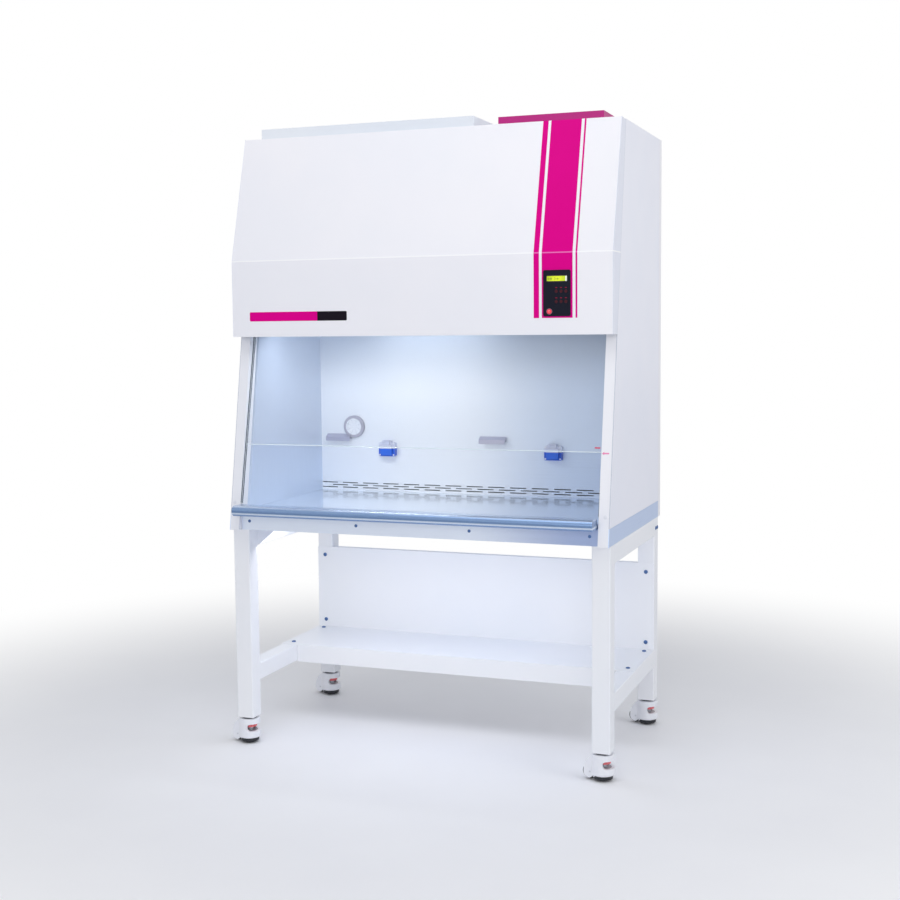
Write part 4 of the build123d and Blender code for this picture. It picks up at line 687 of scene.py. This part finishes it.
WINDOW_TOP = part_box("caster_front_left_thumbwheel")[1][2] + 0.0012
CORNERS = {
    "front_left": (-0.630, -0.308),
    "front_right": (0.630, -0.308),
    "back_left": (-0.630, 0.348),
    "back_right": (0.630, 0.348),
}
wear(port_plastic(), "service_port")
wear(bezel_plastic(), "control_panel")
wear(power_plastic(), "power_button")
wear(socket_plastic("socket_body_plastic", (40, 92, 206)), "socket_bodies")
wear(socket_plastic("socket_lid_plastic", (48, 106, 220)), "socket_lid_left", "socket_lid_right")
for corner, (x, y) in CORNERS.items():
    wear(caster_nylon(f"caster_nylon_{corner}", x, y), f"caster_{corner}_housing")
    wear(caster_tyre(f"caster_tyre_{corner}", x), f"caster_{corner}_wheel")
print("casters finished:", len(CORNERS))

# %% [markdown]
# ## Levelling screws
# The thumbwheel is a red toothed disc on a turned steel nut, and the foot is a rubber pad under a
# steel screw. Both split by height, so one function takes the height where metal begins and the
# side on which it lies.

# %% Thumbwheels and feet
def half_metal(name, colour, shade, edge, metal_below, roughness):
    """A moulded colour on one side of a height and turned steel on the other."""
    mixed = Finish(name)
    height = mixed.axis("Z")
    metal = height < edge if metal_below else height > edge
    resin = mixed.mix(mixed.noise(80.0), tint(*colour), tint(*shade))
    turning = mixed.math("SINE", height * 9000.0)
    return mixed.shade(
        Base_Color=mixed.mix(metal, resin, tint(176, 180, 188)),
        Metallic=metal * 0.9,
        Roughness=mixed.spread(mixed.noise(90.0), roughness - 0.05, roughness + 0.08),
        Normal=mixed.bump(turning * metal, 0.00006),
    )


THUMB_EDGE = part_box("caster_front_left_thumbwheel")[1][2] - 0.0113
thumb_red = half_metal("thumb_red", (232, 120, 124), (222, 106, 112), THUMB_EDGE, True, 0.32)
foot_rubber = half_metal("foot_rubber", (30, 30, 34), (22, 22, 26), 0.0072, False, 0.6)
for corner in CORNERS:
    wear(thumb_red, f"caster_{corner}_thumbwheel")
    wear(foot_rubber, f"caster_{corner}_foot")
print("nodes with a finish:", finish_count)

# %% [markdown]
# ## Display and lamp
# A liquid crystal display is a yellow-green glass, a little brighter in the middle where its
# backlight sits, with a pale strip at its right end. The lamp behind the hood has a white tray and
# a frosted tube. Both glow a little, so their emission colour carries the pattern.

# %% Display and lamp
DISPLAY_MIDDLE = 0.482
DISPLAY_HALF = 0.0325
DISPLAY_HEIGHT = 1.5775


def liquid_crystal():
    crystal = Finish("liquid_crystal")
    across = crystal.axis("X")
    strip = across > DISPLAY_MIDDLE + DISPLAY_HALF - 0.0055
    board = crystal.axis("Y") > -0.3062
    glow = crystal.step(abs(across - DISPLAY_MIDDLE), 0.005, DISPLAY_HALF)
    glass = crystal.mix(glow, tint(214, 226, 30), tint(176, 196, 20))
    lit = abs(crystal.axis("Z") - DISPLAY_HEIGHT) < 0.0078
    face = crystal.mix(strip, glass, tint(226, 232, 214))
    face = crystal.mix(lit, tint(14, 15, 24), face)
    colour = crystal.mix(board, face, tint(18, 60, 34))
    return crystal.shade(
        Base_Color=colour,
        Roughness=crystal.spread(crystal.noise(200.0), 0.10, 0.20),
        Emission_Color=crystal.mix(board, face, tint(0, 0, 0)),
        Emission_Strength=0.25,
    )


def frosted_lamp():
    lamp = Finish("frosted_lamp")
    tube = lamp.between(lamp.axis("Z"), 1.4245, 1.4515)
    return lamp.shade(
        Base_Color=lamp.mix(lamp.noise(25.0), tint(244, 246, 250), tint(236, 239, 245)),
        Roughness=lamp.spread(lamp.noise(60.0), 0.3, 0.5),
        Emission_Color=lamp.mix(tube, tint(0, 0, 0), tint(235, 243, 255)),
        Emission_Strength=0.6,
    )


wear(liquid_crystal(), "display")
wear(frosted_lamp(), "lamps")
bare = [n for n in nodes if n != "fasteners" and not nodes[n].material_slots[0].material.use_nodes]
print("finished nodes:", finish_count, "still bare:", bare)

# %% [markdown]
# ## Growing repeated pieces
# Screws and pleats repeat, so they are grown by Geometry Nodes. Each generator
# is a node group with named inputs. This helper makes the group, and the next one runs it on a
# set of points as a modifier, turns the evaluated result into a plain mesh and throws the
# modifier away, so that only ordinary geometry is left.

# %% Generator groups
def new_group(name, **inputs):
    """A geometry node group with a Geometry input and named inputs, and its tree."""
    group = bpy.data.node_groups.new(name, "GeometryNodeTree")
    group.interface.new_socket("Points", in_out="INPUT", socket_type="NodeSocketGeometry")
    for label, kind in inputs.items():
        group.interface.new_socket(label, in_out="INPUT", socket_type=f"NodeSocket{kind}")
    group.interface.new_socket("Result", in_out="OUTPUT", socket_type="NodeSocketGeometry")
    tree = Tree(group)
    source = group.nodes.new("NodeGroupInput")
    given = {socket.name: Value(tree, socket) for socket in source.outputs if socket.name}
    return group, tree, given


def end_group(group, tree, geometry, finish):
    """Realizes instances, sets the material and closes the group."""
    real = tree.node("GeometryNodeRealizeInstances", 0, Geometry=geometry)
    faced = tree.node("GeometryNodeSetMaterial", 0, Geometry=real, Material=finish)
    sink = group.nodes.new("NodeGroupOutput")
    tree.feed(sink.inputs[0], faced)
    return group


def place_mesh(name, mesh):
    made = bpy.data.objects.new(name, mesh)
    bpy.context.scene.collection.objects.link(made)
    return made


def grow(name, group, points, body="cabinet", facings=None, **settings):
    """Runs a generator on points, with a facing for each, and leaves a plain mesh on a body."""
    mesh = bpy.data.meshes.new(name)
    mesh.from_pydata([tuple(point) for point in points], [], [])
    if facings:
        facing = mesh.attributes.new("facing", "FLOAT_VECTOR", "POINT")
        for item, value in zip(facing.data, facings):
            item.vector = value
    made = place_mesh(name, mesh)
    modifier = made.modifiers.new("grow", "NODES")
    modifier.node_group = group
    for item in group.interface.items_tree:
        if item.in_out == "INPUT" and item.name in settings:
            modifier[item.identifier] = settings[item.name]
    shown = made.evaluated_get(bpy.context.evaluated_depsgraph_get())
    plain = bpy.data.meshes.new_from_object(shown)
    made.modifiers.clear()
    made.data = plain
    plain.polygons.foreach_set("use_smooth", [True] * len(plain.polygons))
    plain.set_sharp_from_angle(angle=math.radians(35))
    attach(made, body)
    print(name, "faces:", len(plain.polygons))
    return made


# %% [markdown]
# ## Screw heads
# Every visible screw is a domed head with a hexagon socket. One head is a short cylinder whose
# top is moved: its rings rise to a dome, and the rings inside the socket drop and are pushed out
# to a hexagon, whose radius at an angle is cos 30 over cos of the angle from the flat's middle.
# The head is then placed on each point, turned to the point's facing and spun by a random amount,
# because real screws stop at any angle.

# %% The screw generator
def screw_generator():
    group, tree, given = new_group(
        "screw_heads", HeadRadius="Float", HeadHeight="Float", SocketRadius="Float", Finish="Material"
    )
    radius, height, socket = given["HeadRadius"], given["HeadHeight"], given["SocketRadius"]
    head = tree.node(
        "GeometryNodeMeshCylinder",
        "Mesh",
        {"fill_type": "TRIANGLE_FAN"},
        Vertices=24,
        Side_Segments=1,
        Fill_Segments=6,
        Radius=radius,
        Depth=height,
    )
    at = tree.node("GeometryNodeInputPosition", 0)
    split = tree.node("ShaderNodeSeparateXYZ", 0, Vector=at).socket.node
    x, y, z = (Value(tree, output) for output in split.outputs)
    reach = tree.math("SQRT", x * x + y * y)
    share = reach / radius
    angle = tree.math("ARCTAN2", y, x)
    flat_angle = tree.math("COSINE", (angle + math.tau) % (math.tau / 6) - math.tau / 12)
    hexagon = socket * math.cos(math.tau / 12) / flat_angle
    top = z > 0
    rim = share > 0.55
    wall = share > 0.42
    inside = hexagon * (wall + (1 - wall) * share * 2.9)
    wanted = rim * reach + (1 - rim) * inside
    pushed = top * wanted + (1 - top) * reach
    dome = height * tree.math("SQRT", 1 - share * share * 0.72)
    level = top * (wall * dome + (1 - wall) * height * 0.35)
    place = tree.node(
        "ShaderNodeCombineXYZ",
        0,
        X=tree.math("COSINE", angle) * pushed,
        Y=tree.math("SINE", angle) * pushed,
        Z=level,
    )
    shaped = tree.node("GeometryNodeSetPosition", 0, Geometry=head, Position=place)
    facing = tree.node(
        "GeometryNodeInputNamedAttribute", "Attribute", {"data_type": "FLOAT_VECTOR"}, Name="facing"
    )
    turn = tree.node("FunctionNodeAlignRotationToVector", 0, {"axis": "Z"}, Vector=facing)
    spin = tree.node("FunctionNodeRandomValue", "Value_001", {"data_type": "FLOAT"}, Max_001=1.0, Seed=4)
    twist = tree.node("FunctionNodeAxisAngleToRotation", 0, Axis=(0.0, 0.0, 1.0), Angle=spin)
    rotation = tree.node(
        "FunctionNodeRotateRotation",
        0,
        {"rotation_space": "LOCAL"},
        Rotation=turn,
        Rotate_By=twist,
    )
    heads = tree.node(
        "GeometryNodeInstanceOnPoints", 0, Points=given["Points"], Instance=shaped, Rotation=rotation
    )
    return end_group(group, tree, heads, given["Finish"])


screw_group = screw_generator()
print("screw generator nodes:", len(screw_group.nodes))

# %% [markdown]
# ## Screws on the cabinet and the stand
# The dark screws sit in the fascia, the shelf and the back panel, and bolts hold the stand to the
# cabinet. Their places are the centres of the plain domes in the solids, which the new heads
# replace, and the round caps on the posts are the same heads without a socket.

# %% Place the screws
screw_navy = brushed("screw_navy", (96, 128, 176), (74, 102, 150), 0.36, (90.0, 90.0, 90.0), 0.8)
cap_white = moulded("cap_white", (232, 233, 239), (222, 224, 232), 0.35)
FRONT = (0.0, -1.0, 0.0)
UP = (0.0, 0.0, 1.0)
FACE_TILT = (0.0, -math.cos(FRONT_TILT), math.sin(FRONT_TILT))
fascia_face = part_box("front_fascia")[0][1]
shelf_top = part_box("stand_shelf")[1][2]
panel_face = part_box("stand_back_panel")[0][1]
LEG_X = 0.630
fascia_places = [(x, fascia_face, 0.780) for x in (-0.595, -0.1983, 0.1983, 0.595)]
shelf_places = [(side * LEG_X, y, shelf_top) for side in (-1, 1) for y in (0.037, 0.2915)]
panel_places = [(side * LEG_X, panel_face, z) for side in (-1, 1) for z in (0.304, 0.558)]
frame_places = [(side * 0.660, 0.348 + step, 0.714) for side in (-1, 1) for step in (-0.012, 0.012)]
CAP_Z = 0.843
cap_places = [(side * 0.64645, front_face_y(CAP_Z), CAP_Z) for side in (-1, 1)]
SOCKET_FACE = 0.257
lid_places = [
    (x + dx, SOCKET_FACE, z)
    for x in (-0.340, 0.304)
    for dx in (-0.0275, 0.0275)
    for z in (0.958, 1.000)
]
SIDEWAYS = [(side, 0.0, 0.0) for side in (-1, 1) for step in range(2)]
SCREWS = (
    ("fascia_screws", fascia_places, [FRONT] * 4, (0.0052, 0.0024, 0.0019), screw_navy),
    ("shelf_bolts", shelf_places, [UP] * 4, (0.0075, 0.0048, 0.0030), screw_navy),
    ("panel_bolts", panel_places, [FRONT] * 4, (0.0070, 0.0044, 0.0028), screw_navy),
    ("frame_bolts", frame_places, SIDEWAYS, (0.0065, 0.0040, 0.0026), screw_navy),
    ("post_caps", cap_places, [FACE_TILT] * 2, (0.0060, 0.0016, 0.0001), cap_white),
)


def screw_row(name, places, facings, sizes, finish):
    """Grows one row of heads; sizes are the head's radius and height and the socket's radius."""
    radius, height, socket = sizes
    return grow(
        name, screw_group, places, facings=facings,
        HeadRadius=radius, HeadHeight=height, SocketRadius=socket, Finish=finish,
    )


for row in SCREWS:
    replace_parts(screw_row(*row), "fasteners")
screw_row("socket_screws", lid_places, [FRONT] * 8, (0.0032, 0.0012, 0.0011), cap_white)

# %% [markdown]
# ## Coloured films on the hood
# Three upright stripes run over the hood's fold, and a two-colour strip lies along its lower
# edge. They are films a fraction of a millimetre thick, so they are made as thin closed solids
# just proud of the paint. A film that crosses the fold follows the same outline as the sheet
# under it, moved out by the film's thickness.

# %% Films
def solid(name, sections, finish, body="cabinet"):
    """A closed piece through rings of equal length, with its two ends capped."""
    count = len(sections[0])
    points = [point for ring in sections for point in ring]
    faces = []
    for ring in range(len(sections) - 1):
        for i in range(count):
            a, b = ring * count + i, ring * count + (i + 1) % count
            faces.append((a, b, b + count, a + count))
    faces.append(tuple(reversed(range(count))))
    faces.append(tuple(range(len(points) - count, len(points))))
    mesh = bpy.data.meshes.new(name)
    mesh.from_pydata(points, [], faces)
    work = bmesh.new()
    work.from_mesh(mesh)
    bmesh.ops.recalc_face_normals(work, faces=work.faces)
    work.to_mesh(mesh)
    work.free()
    mesh.materials.append(finish)
    made = place_mesh(name, mesh)
    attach(made, body)
    return made


HOOD_FACE = -0.3075
HOOD_TOP = (-0.1935, 2.077)
FILM = 0.0003


def hood_outline(low):
    """Y and Z up the hood's front from a height, over the fold to the top edge."""
    return [(HOOD_FACE, low), (HOOD_FACE, HOOD_FOLD), HOOD_TOP]


def stripe(name, x0, x1, low, finish):
    """A film between two X values, from a height to the hood's top edge."""
    lean = Vector((HOOD_TOP[0] - HOOD_FACE, HOOD_TOP[1] - HOOD_FOLD)).normalized()
    flat, tilted = Vector((-1.0, 0.0)), Vector((-lean[1], lean[0]))
    normals = [flat, (flat + tilted).normalized(), tilted]
    sections = []
    for (y, z), normal in zip(hood_outline(low), normals):
        y1, z1 = y + normal[0] * FILM, z + normal[1] * FILM
        sections.append([(x0, y, z), (x0, y1, z1), (x1, y1, z1), (x1, y, z)])
    return solid(name, sections, finish)


def vinyl(name, colour, shade, crease_highlight):
    """Satin printed film: a soft ripple in its gloss, with a painted highlight along the hood's fold."""
    film = Finish(name)
    # Painted highlight: the film is paler in a band where it crosses the fold.
    away = film.step(abs(film.axis("Z") - HOOD_FOLD), 0.0010, 0.0025)
    return film.shade(
        Base_Color=film.mix(away, tint(*crease_highlight), film.mix(film.noise(6.0), tint(*colour), tint(*shade))),
        Specular_IOR_Level=0.05,
        Roughness=film.spread(film.noise(14.0, 3.0), 0.30, 0.42),
        Normal=film.bump(film.noise(60.0), 0.00008),
    )


magenta_film = vinyl("magenta_film", (226, 0, 142), (218, 0, 134), (236, 120, 190))
black_film = vinyl("black_film", (30, 24, 34), (24, 18, 28), (60, 52, 64))
STRIPE_LOW = 1.456
stripes = [
    stripe(f"hood_stripe_{i}", x0, x1, STRIPE_LOW, magenta_film)
    for i, (x0, x1) in enumerate(((0.4065, 0.4240), (0.4330, 0.5320), (0.5415, 0.5470)), start=1)
]


def rounded_outline(x0, x1, z0, z1, radii, steps=6):
    """Corner points of a rectangle, with a radius for each corner, anticlockwise from low left."""
    corners = [(x0, z0, 180), (x1, z0, 270), (x1, z1, 0), (x0, z1, 90)]
    points = []
    for (x, z, start), radius in zip(corners, radii):
        middle_x = x + radius if x == x0 else x - radius
        middle_z = z + radius if z == z0 else z - radius
        for i in range(steps + 1 if radius else 1):
            angle = math.radians(start + 90 * i / steps)
            points.append((middle_x + radius * math.cos(angle), middle_z + radius * math.sin(angle)))
    return points


def plate(name, outline, face_y, thickness, finish, body="cabinet"):
    """A flat plate on an upright face, from an outline of X and Z."""
    back = [(x, face_y, z) for x, z in outline]
    front = [(x, face_y - thickness, z) for x, z in outline]
    return solid(name, [back, front], finish, body)


ROUND = 0.004
plate(
    "trim_strip_left", rounded_outline(-0.595, -0.3426, 1.456, 1.487, (ROUND, 0, 0, ROUND)),
    HOOD_FACE, FILM, magenta_film,
)
plate(
    "trim_strip_right", rounded_outline(-0.3426, -0.235, 1.456, 1.487, (0, ROUND, ROUND, 0)),
    HOOD_FACE, FILM, black_film,
)
print("films:", len(stripes) + 2)

# %% [markdown]
# ## Seals and marks beside the glass
# Dark lips on the posts hold the glass on both sides of its plane, so they follow its slope. A
# small arrow on the right post and a red mark on the pane show the working height. Each lies on
# a leaning face, so its Y comes from its height and the slope of that face.

# %% Seals and marks
SASH_INTO = (0.0, math.cos(SASH_TILT), -math.sin(SASH_TILT))
SASH_CORNER_Z = SASH_FOOT[2] + 0.006 * math.sin(SASH_TILT)


def sash_point(x, z, depth):
    """A point at a height on the plane of the glass, moved into it by a depth."""
    y = SASH_FOOT[1] + (z - SASH_CORNER_Z) * math.tan(SASH_TILT)
    return (x, y + depth * SASH_INTO[1], z + depth * SASH_INTO[2])


def leaning_mark(name, outline, face_y, slope, finish, body="cabinet"):
    """A film on a leaning face, where face_y gives the face's Y at a height."""
    back = [(x, face_y(z), z) for x, z in outline]
    front = [(x, y - FILM * math.cos(slope), z + FILM * math.sin(slope)) for x, y, z in back]
    return solid(name, [back, front], finish, body)


seal_rubber = moulded("seal_rubber", (72, 88, 98), (62, 78, 88), 0.50, Specular_IOR_Level=0.2)
for label, side in (("left", -1), ("right", 1)):
    for place, near, far in (("outer", -0.0035, -0.0012), ("inner", 0.0072, 0.0095)):
        corners = ((0.6235, near), (0.6250, near), (0.6250, far), (0.6235, far))
        rings = [[sash_point(side * x, z, depth) for x, depth in corners] for z in (0.842, 1.403)]
        solid(f"sash_seal_{label}_{place}", rings, seal_rubber)
ARROW = (
    (0.627, 1.0370), (0.634, 1.0320), (0.634, 1.0348), (0.650, 1.0348),
    (0.650, 1.0392), (0.634, 1.0392), (0.634, 1.0420),
)
mark_pink = vinyl("mark_pink", (240, 150, 190), (236, 142, 184), (240, 150, 190))
mark_red = vinyl("mark_red", (232, 64, 96), (226, 56, 88), (232, 64, 96))
leaning_mark("height_arrow", ARROW, front_face_y, FRONT_TILT, mark_pink)
leaning_mark(
    "height_mark", [(0.600, 1.0505), (0.618, 1.0505), (0.618, 1.0540), (0.600, 1.0540)],
    lambda z: sash_point(0, z, 0)[1], SASH_TILT, mark_red, "sash",
)
print("seals 4, marks 2")

# %% [markdown]
# ## Readout and key signs
# The display shows plain numbers, which are a text object made into a mesh and then turned to
# face the user. Over each key lies a small printed bar.

# %% Readout and key signs
def number_mesh(name, body, size, place, finish):
    """Plain numbers as a thin mesh that faces the user."""
    curve = bpy.data.curves.new(name, "FONT")
    curve.body = body
    curve.size = size
    curve.extrude = 0.0001
    holder = place_mesh(name + "_curve", curve)
    mesh = bpy.data.meshes.new_from_object(holder.evaluated_get(bpy.context.evaluated_depsgraph_get()))
    bpy.data.objects.remove(holder)
    mesh.transform(Matrix.Translation(place) @ Matrix.Rotation(math.radians(90), 4, "X"))
    mesh.materials.clear()
    mesh.materials.append(finish)
    made = place_mesh(name, mesh)
    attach(made, "cabinet")
    return made


display_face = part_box("display")[0][1]
bezel_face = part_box("control_panel")[0][1]
readout_ink = moulded("readout_ink", (38, 52, 16), (30, 44, 12), 0.5)
sign_red = vinyl("sign_red", (150, 30, 58), (140, 26, 52), (150, 30, 58))
number_mesh("readout_flow", "0.45   21.6", 0.0082, (0.4525, display_face - 0.0001, 1.5745), readout_ink)
for number in range(1, 7):
    low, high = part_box(f"key_{number}")
    middle, over = (low[0] + high[0]) / 2, high[2] + 0.0042
    outline = rounded_outline(middle - 0.0032, middle + 0.0032, over, over + 0.0026, (0.001,) * 4, 3)
    plate(f"key_sign_{number}", outline, bezel_face, FILM, sign_red)
print("readout and key signs:", 7)

# %% [markdown]
# ## Pleats of the exhaust filter
# Filter paper is folded into deep pleats, and the folds' ridges show through the opening in the
# roof. A generator lays one long ridge, a three-sided prism, on each point of a row.

# %% The pleat generator
def pleat_generator():
    group, tree, given = new_group("pleats", Length="Float", Ridge="Float", Finish="Material")
    prism = tree.node(
        "GeometryNodeMeshCylinder", "Mesh", Vertices=3, Radius=given["Ridge"], Depth=given["Length"]
    )
    upright = tree.node("GeometryNodeTransform", 0, Geometry=prism, Rotation=(0.0, 0.0, math.pi / 2))
    laid = tree.node("GeometryNodeTransform", 0, Geometry=upright, Rotation=(math.pi / 2, 0.0, 0.0))
    ridges = tree.node("GeometryNodeInstanceOnPoints", 0, Points=given["Points"], Instance=laid)
    return end_group(group, tree, ridges, given["Finish"])


PLEAT_PITCH = 0.009
PLEAT_TOP = 2.067
PACK_LEFT, PACK_RIGHT = -0.577, 0.108
PACK_MIDDLE_Y = 0.1605
pleat_count = int((PACK_RIGHT - PACK_LEFT) / PLEAT_PITCH)
first_pleat = PACK_LEFT + PLEAT_PITCH / 2
pleat_row = [
    (first_pleat + i * PLEAT_PITCH, PACK_MIDDLE_Y, PLEAT_TOP + 0.001) for i in range(pleat_count)
]
grow("filter_pleats", pleat_generator(), pleat_row, Length=0.277, Ridge=0.0045, Finish=paper_pack)

# %% [markdown]
# ## Studio
# The room is a pale floor that turns into a white surround. The floor keeps the object's shadow,
# so only its far part changes to plain white, by distance from the middle. The world is white for
# the camera and for reflections, which Light Path tells apart, and softer for the light itself.
# Large area lamps stand in for softboxes: big lamps give the broad, even light of a product shot.

# %% Floor, world and lamps
def studio_floor():
    floor = Finish("studio_floor")
    reach = floor.node("ShaderNodeVectorMath", "Value", {"operation": "LENGTH"}, Vector=floor.place)
    seen = floor.node("ShaderNodeLightPath", "Is_Camera_Ray")
    grain = floor.mix(floor.noise(3.0), tint(243, 243, 246), tint(238, 238, 242))
    matt = floor.node("ShaderNodeBsdfPrincipled", 0, Base_Color=grain, Roughness=0.6)
    white = floor.node("ShaderNodeEmission", 0, Color=(1.0, 1.0, 1.0, 1.0), Strength=1.0)
    share = floor.step(reach, 1.2, 3.2) * seen
    blend = floor.node("ShaderNodeMixShader", 0, Fac=share)
    floor.feed(blend.socket.node.inputs[1], matt)
    floor.feed(blend.socket.node.inputs[2], white)
    floor.node("ShaderNodeOutputMaterial", 0, Surface=blend)
    return floor.material


def studio_world(strength, colour):
    world = bpy.data.worlds.new("studio")
    bpy.context.scene.world = world
    world.use_nodes = True
    room = Tree(world.node_tree)
    room.tree.nodes.clear()
    path = room.node("ShaderNodeLightPath", 0).socket.node.outputs
    shown = Value(room, path["Is Camera Ray"]) + Value(room, path["Is Glossy Ray"])
    shown = shown + Value(room, path["Is Transmission Ray"])
    soft = room.node("ShaderNodeBackground", 0, Color=colour, Strength=strength)
    white = room.node("ShaderNodeBackground", 0, Color=(1.0, 1.0, 1.0, 1.0), Strength=1.0)
    blend = room.node("ShaderNodeMixShader", 0, Fac=shown)
    room.feed(blend.socket.node.inputs[1], soft)
    room.feed(blend.socket.node.inputs[2], white)
    room.node("ShaderNodeOutputWorld", 0, Surface=blend)


def softbox(name, place, target, size, power, colour=(1.0, 1.0, 1.0)):
    lamp = bpy.data.lights.new(name, "AREA")
    lamp.shape = "RECTANGLE"
    lamp.size, lamp.size_y = size
    lamp.energy = power
    lamp.color = colour
    made = bpy.data.objects.new(name, lamp)
    made.location = place
    made.rotation_euler = (Vector(target) - Vector(place)).to_track_quat("-Z", "Y").to_euler()
    bpy.context.scene.collection.objects.link(made)
    return made


floor_mesh = bpy.data.meshes.new("floor")
FLOOR_REACH = 30.0
floor_signs = ((-1, -1), (1, -1), (1, 1), (-1, 1))
floor_corners = [(x * FLOOR_REACH, y * FLOOR_REACH, 0) for x, y in floor_signs]
floor_mesh.from_pydata(floor_corners, [], [(0, 1, 2, 3)])
floor = place_mesh("floor", floor_mesh)
floor_mesh.materials.append(studio_floor())
studio_world(0.58, (0.94, 0.965, 1.0, 1.0))
softbox("front", (1.0, -5.0, 1.9), (0.0, -0.2, 1.1), (3.0, 2.0), 38)
softbox("right", (4.2, -1.0, 2.8), (0.4, 0.0, 1.6), (2.4, 2.8), 37)
softbox("top", (0.0, -2.0, 4.4), (0.0, -0.1, 1.5), (3.0, 2.0), 31)
under_fill = softbox("under_fill", (-0.1, -0.10, 0.735), (-0.1, 0.05, 0.2), (1.0, 0.4), 2.6)
under_fill.visible_camera = False
chamber_lamp = softbox(
    "chamber_lamp", (-0.30, -0.15, 1.44), (-0.28, 0.14, 0.85), (0.45, 0.06), 4.2, (0.93, 0.97, 1.0)
)
chamber_lamp.visible_camera = False
